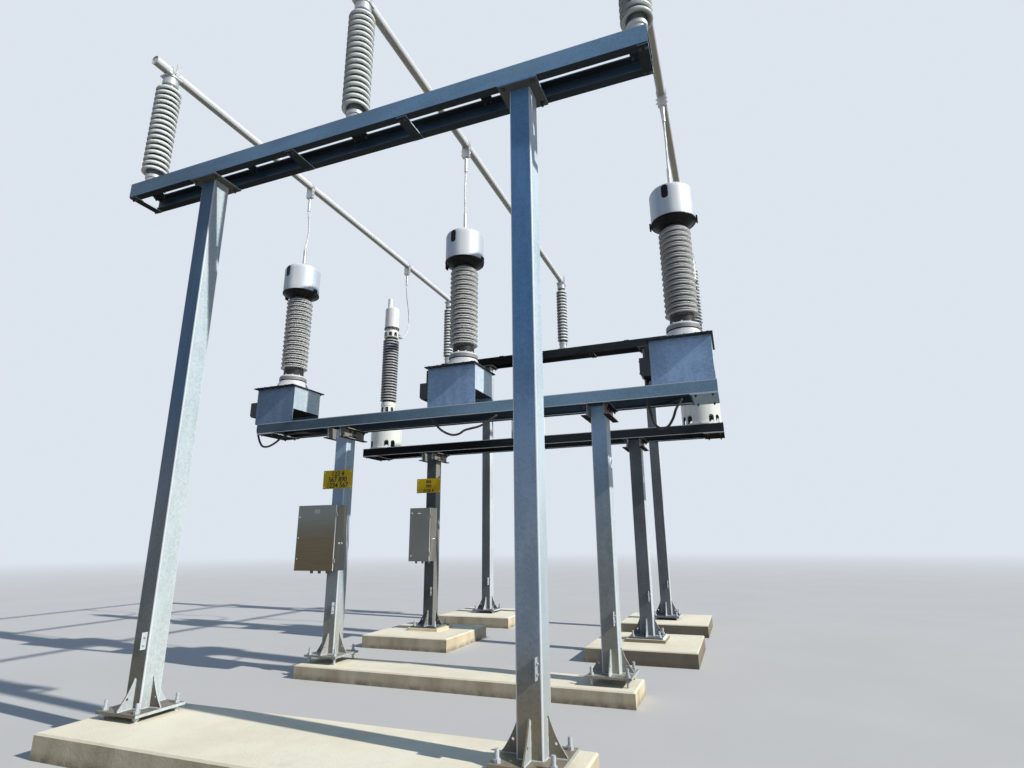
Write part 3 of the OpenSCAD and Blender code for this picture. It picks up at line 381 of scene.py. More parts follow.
def cast_metal(name, dark, pale, rough=(0.42, 0.6), metallic=0.35):
    m = Look(name, Metallic=metallic)
    tone = m.plus(m.times(m.noise(4, 5, 0.6), 0.7), m.times(m.noise(60, 2), 0.3))
    colour = m.ramp(tone, (0.34, dark), (0.66, pale))
    dirt_and_shade = m.between(m.noise(16, 5, 0.7), 0.56, 0.76, 0.0, 0.35)
    colour = m.mix(dirt_and_shade, colour, shade(dark, 0.5))
    m.bump((m.noise(240, 3, 0.6), 0.0006))
    return m.done(colour, m.between(tone, 0.3, 0.7, *rough))


def aluminium(name):
    """Drawn tube that has weathered: fine streaks along Y and dull grey patches, and painted shade on the
    faces turned down and towards -X.
    """
    m = Look(name, Metallic=0.15, Specular_IOR_Level=0.3)
    streak = m.noise(60, 3, 0.6, stretch=(1, 0.03, 1))
    patch = m.noise(2.2, 5, 0.6)
    tone = m.plus(m.times(streak, 0.4), m.times(patch, 0.6))
    colour = m.ramp(tone, (0.3, (0.76, 0.77, 0.78)), (0.55, (0.88, 0.89, 0.90)), (0.75, (0.94, 0.95, 0.95)))
    normal = m.normal()
    # painted shade on the faces turned away from the sun, down and towards -X
    sun_side = m.plus(m.times(normal[0], 0.75), m.times(normal[2], 0.6))
    colour = m.mix(m.between(sun_side, -0.15, 0.2, 0.85, 0.0), colour, (0.30, 0.285, 0.21))
    m.bump((streak, 0.0004))
    return m.done(colour, m.between(tone, 0.3, 0.7, 0.46, 0.34))


def hat_metal():
    """Spun aluminium heads with a satin face, faint turning lines and rain streaks, and painted sky
    reflections and a painted highlight that change round them from -X to +X.
    """
    m = Look("hat_metal", Metallic=0.3, Specular_IOR_Level=0.35)
    lines = m.noise(30, 2, 0.5, stretch=(0.3, 0.3, 9))
    rain = m.noise(26, 4, 0.6, stretch=(1, 1, 0.05))
    tone = m.plus(m.times(lines, 0.35), m.times(rain, 0.65))
    # painted sky reflections and a painted highlight, by where the face turns from -X to +X
    sheen_facing = m.between(m.normal()[0], -1.0, 1.0)
    colour = m.ramp(sheen_facing, (0.0, (0.56, 0.62, 0.70)), (0.13, (0.36, 0.43, 0.52)),
                    (0.45, (0.52, 0.58, 0.65)), (0.66, (0.86, 0.87, 0.88)),
                    (0.88, (0.74, 0.76, 0.79)), (1.0, (0.58, 0.64, 0.71)))
    colour = m.mix(1.0, colour, m.between(tone, 0.3, 0.7, 0.93, 1.05), "MULTIPLY")
    low = m.between(m.axes()[2], VT_HEAD - 0.02, VT_HEAD + 0.1, 0.3, 0.0)
    colour = m.mix(m.times(low, rain), colour, (0.32, 0.33, 0.33))
    m.bump((lines, 0.0003))
    return m.done(colour, m.between(tone, 0.3, 0.7, 0.48, 0.58))


def black_casting():
    m = Look("black_casting", Specular_IOR_Level=0.12)
    colour = m.ramp(m.noise(18, 5, 0.65), (0.35, (0.006, 0.006, 0.006)), (0.75, (0.026, 0.024, 0.022)))
    m.bump((m.noise(200, 3), 0.0006))
    return m.done(colour, m.between(m.noise(9, 3), 0.3, 0.7, 0.3, 0.5))


def turret_cast():
    """Pale cast cone. Painted shade darkens the neck under the porcelain and the grooves, and the face of
    the ring is darker.
    """
    m = Look("turret_cast", Metallic=0.1, Specular_IOR_Level=0.3)
    z = m.axes()[2]
    tone = m.plus(m.times(m.noise(5, 5, 0.6), 0.6), m.times(m.noise(50, 2), 0.4))
    colour = m.ramp(tone, (0.34, (0.60, 0.61, 0.60)), (0.66, (0.78, 0.79, 0.79)))

    def level(low, high, soft=0.003):
        return m.times(m.between(z, low - soft, low), m.between(z, high, high + soft, 1.0, 0.0))

    colour = m.mix(m.times(level(VT_LID + 0.152, VT_LID + 0.196), 0.7), colour, (0.13, 0.13, 0.13))
    # painted shade in the grooves and on the neck under the porcelain
    colour = m.mix(level(VT_LID + 0.136, VT_LID + 0.149), colour, (0.03, 0.03, 0.03))
    colour = m.mix(m.between(z, VT_LID + 0.231, VT_LID + 0.235), colour, (0.028, 0.027, 0.026))
    m.bump((m.noise(180, 3, 0.6), 0.0006))
    return m.done(colour, m.between(tone, 0.3, 0.7, 0.45, 0.6))


def ct_paint():
    """Cream enamel. The ring flange is dark, and painted shade darkens the recesses in the fittings and the
    arches of the skirt.
    """
    m = Look("ct_paint", Coat_Weight=0.15, Coat_Roughness=0.2)
    z = m.axes()[2]
    radius = from_axis(m, CT_Y)
    colour = m.ramp(m.noise(1.9, 5, 0.6), (0.3, (0.88, 0.89, 0.82)), (0.7, (0.94, 0.95, 0.88)))
    rain = m.between(m.noise(22, 5, 0.65, stretch=(1, 1, 0.06)), 0.52, 0.72, 0.0, 0.3)
    colour = m.mix(rain, colour, (0.36, 0.33, 0.27))

    def band(low, high, within=1.0):
        return m.times(m.over(z, low), m.under(z, high), m.under(radius, within))

    flange = band(CT_FITTING + 0.188, CT_HEAD - 0.002)
    # painted shade inside the recesses of the fittings and the arches of the skirt
    recess_shade = band(CT_FITTING + 0.018, CT_FITTING + 0.112, 0.1235)
    low_recess_shade = band(LOW_TOP + 0.68, CT_PORCELAIN - 0.05, 0.131)
    arch_shade = band(LOW_TOP + 0.017, LOW_TOP + 0.224, 0.302)
    colour = m.mix(arch_shade, colour, (0.13, 0.13, 0.125))
    dark = m.calc("MINIMUM", m.plus(flange, recess_shade, low_recess_shade), 1.0)
    colour = m.mix(dark, colour, (0.035, 0.035, 0.037))
    m.bump((m.noise(150, 2), 0.0004))
    return m.done(colour, m.between(m.noise(5, 3), 0.3, 0.7, 0.32, 0.48))


def stainless():
    """Brushed sheet, browner towards its foot as a painted reflection of the brown ground."""
    m = Look("stainless", Metallic=0.4)
    brush = m.noise(120, 3, 0.6, stretch=(0.03, 0.03, 1))
    cloud = m.noise(3, 4, 0.6)
    height = m.plus(m.axes()[2], m.times(cloud, 0.12))
    # painted reflection of the brown ground, strongest low down
    colour = m.ramp(m.between(height, 1.42, 2.2), (0.0, (0.155, 0.11, 0.05)), (0.5, (0.16, 0.125, 0.07)),
                    (0.8, (0.17, 0.165, 0.13)), (1.0, (0.20, 0.22, 0.20)))
    colour = m.mix(m.between(brush, 0.3, 0.7, 0.0, 0.08), colour, (0.5, 0.5, 0.48))
    colour = cabinet_side(m, colour, "marshalling_door", BOX_WIDTH, (0.07, 0.072, 0.06))
    m.bump((brush, 0.0003))
    return m.done(colour, m.between(brush, 0.3, 0.7, 0.28, 0.44))


def cabinet_side(m, colour, door, width, face):
    """The +X side of a cabinet: darker than the door as painted shade, with thin streaks of painted
    reflection and a painted highlight on the door's edge.
    """
    low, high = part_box(door)
    x, y, z = m.axes()[0:3]
    outer = m.over(x, low.x + width - 0.02)
    side = m.times(m.over(m.normal()[0], 0.7), outer)
    # painted reflection streaks on the side
    streak = m.between(m.noise(16, 3, 0.6, stretch=(0.01, 1, 0.07)), 0.5, 0.66)
    colour = m.mix(side, colour, m.mix(m.times(streak, 0.5), face, shade(face, 2.2)))
    # painted highlight along the door's edge
    edge_highlight = m.times(side, m.under(y, low.y + 0.018))
    return m.mix(m.times(edge_highlight, m.between(z, low.z, high.z, 0.95, 0.35)), colour, (0.72, 0.73, 0.69))


def painted(name, colour, worn, gloss=(0.38, 0.55), side=None):
    m = Look(name, Specular_IOR_Level=0.3)
    tone = m.ramp(m.noise(2.8, 5, 0.6), (0.3, shade(colour, 0.86)), (0.7, colour))
    rain = m.between(m.noise(30, 4, 0.65, stretch=(1, 1, 0.06)), 0.55, 0.75, 0.0, 0.45)
    tone = m.mix(rain, tone, worn)
    if side:
        tone = cabinet_side(m, tone, *side)
    m.bump((m.noise(300, 2), 0.0003))
    return m.done(tone, m.between(m.noise(7, 3), 0.3, 0.7, *gloss))


def concrete():
    """Cast concrete: pale trowelled top, darker sides with painted shade on the pads at the rear towards +X,
    splashes from the ground and pits.
    """
    m = Look("concrete", Roughness=0.88)
    up = m.normal()[2]
    x, y, z = m.axes()[0:3]
    top = m.ramp(m.noise(1.7, 6, 0.62), (0.32, (0.88, 0.80, 0.61)), (0.55, (0.98, 0.90, 0.70)),
                 (0.75, (1.0, 0.94, 0.77)))
    side = m.ramp(m.noise(3.4, 6, 0.62, stretch=(1, 1, 0.3)), (0.3, (0.58, 0.48, 0.32)),
                  (0.55, (0.82, 0.70, 0.48)), (0.8, (0.94, 0.83, 0.62)))
    # painted shade on the sides of the pads at the rear towards +X
    shaded = m.times(m.between(x, 0.5, 1.5), m.between(y, 4.0, 4.5))
    side = m.mix(m.times(shaded, 0.8), side, (0.15, 0.13, 0.095))
    colour = m.mix(m.between(up, 0.4, 0.9), side, top)
    splash = m.times(m.between(z, 0.0, 0.09, 1.0, 0.0), m.between(m.noise(7, 5), 0.3, 0.7, 0.2, 0.8))
    colour = m.mix(splash, colour, (0.15, 0.125, 0.095))
    stain = m.between(m.noise(0.9, 5, 0.7), 0.56, 0.74, 0.0, 0.25)
    colour = m.mix(stain, colour, (0.33, 0.29, 0.22))
    pit = m.cells(38)[1]
    pits = m.between(pit, 0.05, 0.16)
    colour = m.mix(m.between(pit, 0.03, 0.09, 0.4, 0.0), colour, (0.14, 0.12, 0.10))
    m.bump((pits, 0.002), (m.noise(45, 5, 0.65), 0.003))
    return m.done(colour)


def strand(name, colour, twist, pitch, rough):
    """A tube's own looks: twist strands round it, each going round once in pitch metres, with painted shade
    in the grooves between them.
    """
    m = Look(name, Metallic=0.0 if colour[0] < 0.1 else 0.15)
    uv = m.axes(m.node("TexCoord").outputs["UV"])
    turn = m.plus(m.times(uv[0], twist), m.calc("DIVIDE", uv[1], pitch))
    wave = m.calc("SINE", m.times(turn, 2 * math.pi))
    # painted shade in the grooves between the strands of a lead and the ribs of a conduit
    tone = m.mix(m.between(wave, -1.0, 0.2, 0.55, 0.0), colour, shade(colour, 0.45))
    worn = tuple(min(1, c * 1.5 + 0.02) for c in colour)
    tone = m.mix(m.between(m.noise(11, 4), 0.35, 0.75, 0.0, 0.3), tone, worn)
    m.bump((wave, 0.0012))
    return m.done(tone, m.between(m.noise(6, 3), 0.3, 0.7, rough - 0.06, rough + 0.08))


def glass_black():
    m = Look("glass_black", Roughness=0.1, Specular_IOR_Level=0.12)
    z = m.axes()[2]
    level = m.between(z, VT_HEAD + 0.27, VT_HEAD + 0.29)
    return m.done(m.mix(level, (0.022, 0.014, 0.006), (0.006, 0.007, 0.010)))


def floor_look():
    """Pale to the eye, darker in what it throws back, and fading into the backdrop far out."""
    m = Look("floor", Roughness=0.9)
    seen = m.seen()
    pale = m.ramp(m.noise(0.5, 4), (0.3, (0.60, 0.585, 0.56)), (0.7, (0.63, 0.615, 0.59)))
    colour = m.mix(seen, (0.23, 0.21, 0.18), pale)
    x, y = m.axes()[0:2]
    far = m.calc("SQRT", m.plus(m.times(x, x), m.times(y, y)))
    away = m.between(far, 16.0, 75.0)
    shell = m.node("Emission", Color=BACKDROP)
    m.blend(m.times(away, seen), m.shader, shell, "Material Output")
    m.bump((m.noise(60, 4), 0.001))
    return m.done(colour)


# Meshes


def facing(point, normal=UP, spin=0.0):
    """The place of a small part: local Z leaves the surface at point along normal."""
    turn = Vector(normal).to_track_quat("Z", "Y").to_matrix().to_4x4()
    return Matrix.Translation(point) @ turn @ Matrix.Rotation(spin, 4, "Z")


def corners(x, y, dx, dy):
    return (x - dx, y - dy), (x - dx, y + dy), (x + dx, y - dy), (x + dx, y + dy)


def around(x, y, r, turns):
    """The point at this part of a full turn on a circle round x, y."""
    return x + r * math.cos(2 * math.pi * turns), y + r * math.sin(2 * math.pi * turns)


def rectangle(half_width, half_height, y=0.0):
    """Outline of a rectangle whose middle is at 0, y."""
    low, high = y - half_height, y + half_height
    return [(-half_width, low), (half_width, low), (half_width, high), (-half_width, high)]


def oblong(w, h, steps=9):
    """Outline of a slot with round ends, w wide and h high."""
    r = w / 2
    ends = []
    for side in (1, -1):
        for k in range(steps):
            a = math.pi * k / (steps - 1)
            ends.append((side * r * math.cos(a), side * ((h / 2 - r) + r * math.sin(a))))
    return ends


def smooth_path(points, steps=4):
    """A curve through the points of a route, with several short steps between each two."""
    p = [Vector(q) for q in points]
    p = [2 * p[0] - p[1], *p, 2 * p[-1] - p[-2]]
    out = []
    for i in range(1, len(p) - 2):
        a, b, c, d = p[i - 1:i + 3]
        grip = min(1.0, 2.5 * min((b - a).length, (c - b).length, (d - c).length) / (c - b).length)
        into, away = (c - a) / 2 * grip, (d - b) / 2 * grip
        for k in range(steps):
            t = k / steps
            out.append(b * (2 * t**3 - 3 * t**2 + 1) + into * (t**3 - 2 * t**2 + t)
                       + c * (3 * t**2 - 2 * t**3) + away * (t**3 - t**2))
    return [*out, p[-2]]


def belt(n, first, second):
    """The faces between two rings of n points, each given by its number."""
    faces = []
    for k in range(n):
        ahead = (k + 1) % n
        faces.append([n * first + k, n * first + ahead, n * second + ahead, n * second + k])
    return faces


class Shape:
    """Gathers many small forms into one piece of the scene."""

    def __init__(self):
        self.verts, self.faces, self.uvs = [], [], []

    def add(self, verts, faces, place=None, uvs=None):
        start = len(self.verts)
        self.verts += [tuple(place @ Vector(v)) if place else tuple(v) for v in verts]
        self.faces += [[start + i for i in f] for f in faces]
        self.uvs += uvs or [[(0, 0)] * len(f) for f in faces]

    def lathe(self, profile, place, sides=16):
        """Turns (radius, height) pairs round local Z. A pair on the axis closes the form there."""
        verts, rings = [], []
        for r, z in profile:
            count = 1 if r < 1e-6 else sides
            rings.append(list(range(len(verts), len(verts) + count)))
            verts += [(*around(0, 0, r, k / sides), z) for k in range(count)]
        faces = []
        for low, high in zip(rings, rings[1:]):
            for k in range(sides):
                n = (k + 1) % sides
                face = [low[k % len(low)], low[n % len(low)], high[n % len(high)], high[k % len(high)]]
                faces.append(list(dict.fromkeys(face)))
        self.add(verts, [f for f in faces if len(f) > 2], place)

    def prism(self, outline, low, high, place, ease=0.0):
        """An outline drawn out along local Z, its outer edge eased by a small chamfer."""
        cx = sum(p[0] for p in outline) / len(outline)
        cy = sum(p[1] for p in outline) / len(outline)

        def inset(by):
            out = []
            for x, y in outline:
                far = math.hypot(x - cx, y - cy)
                out.append((cx + (x - cx) * (1 - by / far), cy + (y - cy) * (1 - by / far)))
            return out

        rings = [(outline, low), (outline, high - ease)]
        if ease:
            rings.append((inset(ease), high))
        verts = [(x, y, z) for ring, z in rings for x, y in ring]
        n = len(outline)
        faces = [list(range(n))[::-1], [n * (len(rings) - 1) + k for k in range(n)]]
        for r in range(len(rings) - 1):
            faces += belt(n, r, r + 1)
        self.add(verts, faces, place)

    def frame_ring(self, outer, inner, low, high, place):
        """A rim between two outlines of as many points."""
        n = len(outer)
        rings = ((outer, low), (outer, high), (inner, high), (inner, low))
        verts = [(x, y, z) for ring, z in rings for x, y in ring]
        faces = [face for r in range(4) for face in belt(n, r, (r + 1) % 4)]
        self.add(verts, faces, place)

    def tube(self, path, radius, sides=12):
        """A round tube along a path, with its length in the second texture coordinate."""
        verts, faces, uvs = [], [], []
        side, last = Vector(RIGHT), len(path) - 1
        run, runs = 0.0, []
        for i, point in enumerate(path):
            ahead = (path[min(i + 1, last)] - path[max(i - 1, 0)]).normalized()
            side = (side - ahead * side.dot(ahead)).normalized()
            other = ahead.cross(side)
            if i:
                run += (point - path[i - 1]).length
            runs.append(run)
            for k in range(sides):
                a = 2 * math.pi * k / sides
                verts.append(point + radius * (math.cos(a) * side + math.sin(a) * other))
        for i in range(last):
            faces += belt(sides, i, i + 1)
            for k in range(sides):
                u, w = k / sides, (k + 1) / sides
                uvs.append([(u, runs[i]), (w, runs[i]), (w, runs[i + 1]), (u, runs[i + 1])])
        faces += [list(range(sides))[::-1], [last * sides + k for k in range(sides)]]
        uvs += [[(0, runs[ring])] * sides for ring in (0, last)]
        self.add(verts, faces, None, uvs)

    def bolt(self, point, normal=UP, d=0.02, tail=0.35, washer=1.05):
        """A nut on a washer with a short end of thread, spun by a random angle."""
        place = facing(point, normal, random.uniform(0, math.pi))
        low, high = d * 0.18, d * 0.98
        if washer:
            self.lathe([(d * washer, 0), (d * washer, low), (0, low)], place, 12)
        self.lathe([(d * 0.88, low), (d * 0.88, high - d * 0.1), (d * 0.74, high), (0, high)], place, 6)
        if tail:
            self.lathe([(d * 0.48, high), (d * 0.48, high + d * (tail - 0.08)), (d * 0.38, high + d * tail),
                        (0, high + d * tail)], place, 8)

    def fillet(self, a, b, out_a, out_b, size):
        """A weld bead from a to b in the corner between two faces, rippled along its length."""
        a, b, out_a, out_b = Vector(a), Vector(b), Vector(out_a) * size, Vector(out_b) * size
        steps = max(2, int((b - a).length / 0.02))
        verts, faces = [], []
        for i in range(steps + 1):
            at = a.lerp(b, i / steps)
            swell = random.uniform(0.8, 1.2)
            verts += [at, at + out_a * swell, at + (out_a + out_b) * 0.62 * swell, at + out_b * swell]
        for i in range(steps):
            faces += belt(4, i, i + 1)
        faces += [[0, 1, 2, 3], [4 * steps + 3, 4 * steps + 2, 4 * steps + 1, 4 * steps]]
        self.add(verts, faces)

    def piece(self, name, material, body="bay", slot=None, sharp=35):
        mesh = bpy.data.meshes.new(name)
        mesh.from_pydata(self.verts, [], self.faces)
        flat = [c for face in self.uvs for uv in face for c in uv]
        mesh.uv_layers.new(name="UVMap").data.foreach_set("uv", flat)
        mesh.validate()
        mesh.shade_smooth()
        mesh.set_sharp_from_angle(angle=math.radians(sharp))
        mesh.materials.append(material)
        made = new_object(name, mesh)
        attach(made, body)
        return made


# Leads and conduits, on the routes of the source


def millimetres(points, x=0.0, y=0.0):
    return [Vector((x + p[0] / 1000, y + p[1] / 1000, FOOTING + p[2] / 1000)) for p in points]


def vt_lead(x, bow):
    """The route from a busbar down to a voltage transformer, bowed sideways by its own amount."""
    top, low = PALM_Z - 0.26, VT_STUD + 0.26
    pairs = ((0, 1), (0, 0.93), (0.6, 0.76), (1, 0.55), (0.9, 0.37), (0.4, 0.19), (0, 0.08), (0, 0))
    return [Vector((x, VT_Y + bow * a, low + (top - low) * b)) for a, b in pairs]


def ct_lead(x):
    """The route from a busbar down to the arm of a current transformer, bowed to the rear."""
    top, low, reach, clamp = PALM_Z - 0.26, ARM_Z + 0.024, 0.4, CT_CLAMP
    pairs = ((0.12, 0.88), (0.28, 0.79), (0.49, 0.68), (0.74, 0.57), (0.91, 0.47), (0.99, 0.38),
             (0.99, 0.3), (0.9, 0.21), (0.74, 0.13), (0.54, 0.07), (0.34, 0.03))
    middle = [(reach + (clamp - reach) * b + 0.225 * a, low + (top - low) * b) for a, b in pairs]
    route = [(clamp, top), (clamp, top - 0.05), *middle, (reach + 0.04, low), (reach, low)]
    return [Vector((x, CT_Y + y, z)) for y, z in route]


CONDUIT_LEFT = [
    (-3460, -130, 3380), (-3460, -130, 3350), (-3485, -130, 3280), (-3490, -130, 3200), (-3460, -130, 3110),
    (-3420, -130, 3020), (-3355, -130, 2945), (-3240, -130, 2935), (-3110, -130, 2985), (-3010, -130, 3050),
    (-2920, -100, 3098), (-2820, -30, 3128), (-2710, 80, 3142), (-2600, 170, 3142), (-2450, 225, 3139.3),
    (-2200, 231, 3139.3), (-2080, 220, 3139.3), (-2000, 190, 3139.3), (-1967, 155, 3118), (-1960, 134, 3050),
    (-1960, 118, 2980), (-1960, 118, 2050), (-1975, 120, 1970), (-2010, 128, 1900), (-2055, 110, 1850),
    (-2085, 50, 1820), (-2095, -30, 1802), (-2100, -70, 1800), (-2100, -130, 1800)]
CONDUIT_MIDDLE = [
    (-460, -130, 3380), (-460, -130, 3350), (-458, -130, 3290), (-435, -130, 3190), (-390, -130, 3110),
    (-266, -130, 2972), (-113, -130, 2892), (6, -130, 2892), (90, -130, 2935), (190, -130, 2955),
    (300, -130, 2972), (400, -110, 3020), (465, -50, 3085), (485, 30, 3135), (440, 120, 3150),
    (330, 190, 3146), (180, 227, 3139.3), (0, 231, 3139.3), (-1700, 229, 3139.3), (-1790, 200, 3139.3),
    (-1840, 170, 3136), (-1858, 142, 3105), (-1860, 130, 3050), (-1860, 118, 2980), (-1860, 118, 1850),
    (-1880, 120, 1760), (-1930, 130, 1690), (-2000, 135, 1640), (-2060, 110, 1615), (-2090, 50, 1605),
    (-2100, -70, 1600), (-2100, -130, 1600)]
CONDUIT_RIGHT = [
    (2540, -130, 3380), (2540, -130, 3350), (2530, -130, 3280), (2518, -130, 3130), (2554, -130, 2940),
    (2585, -130, 2830), (2650, -130, 2765), (2735, -130, 2780), (2800, -125, 2870), (2840, -110, 2980),
    (2885, -60, 3070), (2905, 30, 3130), (2870, 130, 3150), (2780, 210, 3145), (2650, 259.7, 3139.3),
    (2450, 265.7, 3139.3), (-1700, 265.7, 3139.3), (-1820, 250, 3139.3), (-1890, 215, 3139.3),
    (-1907, 170, 3130), (-1910, 136, 3050), (-1910, 118, 2980), (-1910, 118, 1950), (-1925, 120, 1870),
    (-1960, 130, 1790), (-2020, 130, 1740), (-2065, 105, 1715), (-2090, 50, 1705), (-2100, -70, 1700),
    (-2100, -130, 1700)]


def make_leads(look):
    shape, radius = Shape(), 0.0148
    for x, bow in zip(PHASES, (0.045, -0.015, 0.03)):
        shape.tube(smooth_path(vt_lead(x, bow), 6), radius)
        shape.tube(smooth_path(ct_lead(x), 5), radius)
    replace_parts(shape.piece("stranded_leads", look, slot="bare_aluminium"), "dropper_leads")


def make_conduits(look, nut_look):
    shape, nuts = Shape(), Shape()
    for route in (CONDUIT_LEFT, CONDUIT_MIDDLE, CONDUIT_RIGHT):
        points = millimetres(route, y=VT_Y)
        shape.tube(smooth_path(points, 4), 0.0155, 10)
        nuts.lathe([(0.0165, -0.045), (0.0215, -0.04), (0.0215, -0.018)], facing(points[0]), 16)
        nuts.lathe([(0.025, -0.018), (0.025, -0.0005), (0.016, -0.0005)], facing(points[0]), 6)
    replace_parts(shape.piece("ribbed_conduits", look, slot="black_hose"), "vt_conduits")
    nuts.piece("conduit_glands", nut_look, slot="black_hose")


# Fasteners and welds


def make_beam_bolts(look):
    """Bolts of the high beams: at the columns, the battens, the top plates and the insulators."""
    shape = Shape()
    for y in (FRONT_Y, REAR_Y):
        for x in COLUMNS:
            for at in corners(x, y, BOLT_ROW, BOLT_ROW):
                shape.bolt((*at, HIGH_BEAM - CAP_PLATE), DOWN, 0.024, 0.9)
                shape.bolt((*at, HIGH_BEAM + FLANGE), d=0.024, tail=0)
        for x, half in ((-3.0475, 0.025), (-0.69, 0.03), (0.69, 0.03), (3.0475, 0.025)):
            for at in corners(x, y, half, BOLT_ROW):
                shape.bolt((*at, HIGH_BEAM - BATTEN), DOWN, 0.016, 0.6)
                shape.bolt((*at, HIGH_BEAM + FLANGE), d=0.016, tail=0)
        for x in (-1.49, 1.49):
            for at in corners(x, y, 0.03, BOLT_ROW):
                shape.bolt((*at, HIGH_TOP), d=0.016, tail=0.4)
                shape.bolt((*at, HIGH_TOP - TOP_GRIP), DOWN, 0.016, 0.5)
        for x in PHASES:
            for at in corners(x, y, 0.072, 0.125):
                shape.bolt((*at, HIGH_TOP), d=0.018)
                shape.bolt((*at, HIGH_TOP - TOP_GRIP), DOWN, 0.018, 0.6)
    shape.piece("beam_bolts", look, slot="galvanised")


def make_bracket_bolts(look):
    """Bolts of the low beams: brackets to columns, channels to brackets, and the battens."""
    shape = Shape()
    for y in (VT_Y, CT_Y):
        for x in COLUMNS:
            for side in (-1, 1):
                for dy in (-0.055, 0.055):
                    for z in (-0.11, -0.04):
                        shape.bolt((x + side * 0.108, y + dy, LOW_BEAM + z), (side, 0, 0), 0.02, 0.6)
                for dy in (-0.245, 0.245):
                    at = (x + side * 0.14, y + dy)
                    shape.bolt((*at, LOW_BEAM - FLANGE), DOWN, 0.02, 0.7)
                    shape.bolt((*at, LOW_BEAM + FLANGE), d=0.02, tail=0)
        for side in (-1, 1):
            for dx in (0.06, 0.25):
                for dy in (-0.25, 0.25):
                    at = (side * (3.332 - dx), y + dy)
                    shape.bolt((*at, LOW_BEAM - BATTEN), DOWN, 0.016, 0.6)
    shape.piece("bracket_bolts", look, slot="galvanised")


def make_tank_bolts(look, ring_look):
    """Bolts of the voltage transformers' tanks: their feet, lids, boxes and turret rings."""
    shape, ring = Shape(), Shape()
    for phase in PHASES:
        x = phase - 0.04
        for dy in (-0.255, 0.255):
            for dx in (-0.27, 0.27):
                at = (x + dx, VT_Y + dy)
                shape.bolt((*at, LOW_TOP + 0.006), d=0.02)
                shape.bolt((*at, LOW_TOP - FLANGE), DOWN, 0.02, 0.6)
        for dy in (-0.328, 0.328):
            for k in range(6):
                at = (x - 0.325 + 0.13 * k, VT_Y + dy)
                shape.bolt((*at, VT_LID), d=0.014, tail=0)
                shape.bolt((*at, VT_LID - 0.014), DOWN, 0.014, 0.5)
        # The ring's nuts take the bright metal, as painted highlights in the shade under the porcelain.
        for k in range(10):
            at = around(phase, VT_Y, 0.164, (k + 0.5) / 10)
            ring.bolt((*at, VT_LID + 0.2285), d=0.014, washer=0.9)
        for z in (0.16, 0.31):
            for dy in (-0.26, -0.05):
                shape.bolt((x - 0.485, VT_Y + dy, LOW_TOP + z), LEFT, 0.009, 0, 1.2)
    shape.piece("tank_bolts", look, slot="galvanised")
    ring.piece("turret_bolts", ring_look, slot="cast_fitting")


def make_ct_bolts(look):
    """Bolts of the current transformers: round their porcelain, at their feet and under their arms."""
    shape = Shape()
    for x in PHASES:
        for k in range(12):
            shape.bolt((*around(x, CT_Y, 0.172, k / 12), LOW_TOP + 0.664), d=0.014)
            at = around(x, CT_Y, 0.139, k / 12)
            shape.bolt((*at, CT_FITTING + 0.1925), DOWN, 0.012, 0.4, 0.9)
        for k in range(4):
            shape.bolt((*around(x, CT_Y, 0.312, k / 4), LOW_TOP + 0.016), d=0.016, washer=0.9)
        for dx in (-0.022, 0.022):
            shape.bolt((x + dx, CT_Y + 0.35, ARM_Z - 0.014), DOWN, 0.012, 0.5)
    shape.piece("ct_bolts", look, slot="cream_paint")


def make_clamp_bolts(look):
    """Bolts of the busbar clamps' feet and the dropper clamps' palms, and nuts on the studs."""
    shape = Shape()
    nut = [(0.03, 0), (0.03, 0.018), (0.017, 0.018)]
    sleeve = [(0.0245, 0), (0.034, 0.004), (0.034, 0.03), (0.0245, 0.034)]
    for x in PHASES:
        for y in (FRONT_Y, REAR_Y):
            for at in corners(x, y, 0.075, 0.068):
                shape.bolt((*at, CLAMP_FOOT), d=0.014, washer=0.9)
        for y in (VT_Y, CT_Y + CT_CLAMP):
            for z in (-0.10, -0.165):
                for side, tail in ((-1, 0.6), (1, 0)):
                    shape.bolt((x + side * 0.06, y, BUS_Z + z), (side, 0, 0), 0.017, tail)
        shape.lathe(nut, facing((x, VT_Y, VT_STUD - 0.1)), 6)
        shape.lathe(nut, facing((x, VT_Y, VT_STUD - 0.06), spin=0.4), 6)
        shape.lathe(sleeve, facing((x, VT_Y, VT_STUD + 0.002)), 20)
    shape.piece("clamp_bolts", look, slot="bare_aluminium")


def anchor_thread(shape, at):
    """The thread that stands out of an anchor's nut, and the washer below the nut."""
    foot, pitch = PLATE_TOP + 0.0245, 0.0035
    thread = []
    for k in range(16):
        thread += [(0.0165, foot + pitch * k), (0.0152, foot + pitch * k + 0.0017)]
    shape.lathe(thread, Matrix.Translation((*at, 0)), 12)
    shape.lathe([(0.0305, 0), (0.0305, 0.003)], facing((*at, PLATE_TOP)), 20)


def gusset_welds(weld, base, turn):
    """Beads on both sides of a gusset, up the shaft and out along the plate, and at the shaft's foot."""
    shaft, half_plate, bead = 0.1, 0.006, 0.006

    def at(u, v, z=0.0):
        return base + turn @ Vector((u, v, z))

    along = turn @ Vector(RIGHT)
    for side in (-1, 1):
        edge = side * half_plate
        outward = turn @ Vector((0, side, 0))
        weld.fillet(at(shaft, edge, 0.004), at(shaft, edge, 0.245), outward, along, bead)
        weld.fillet(at(0.104, edge), at(0.238, edge), outward, UP, bead)
        weld.fillet(at(shaft, edge), at(shaft, side * 0.082), along, UP, bead)


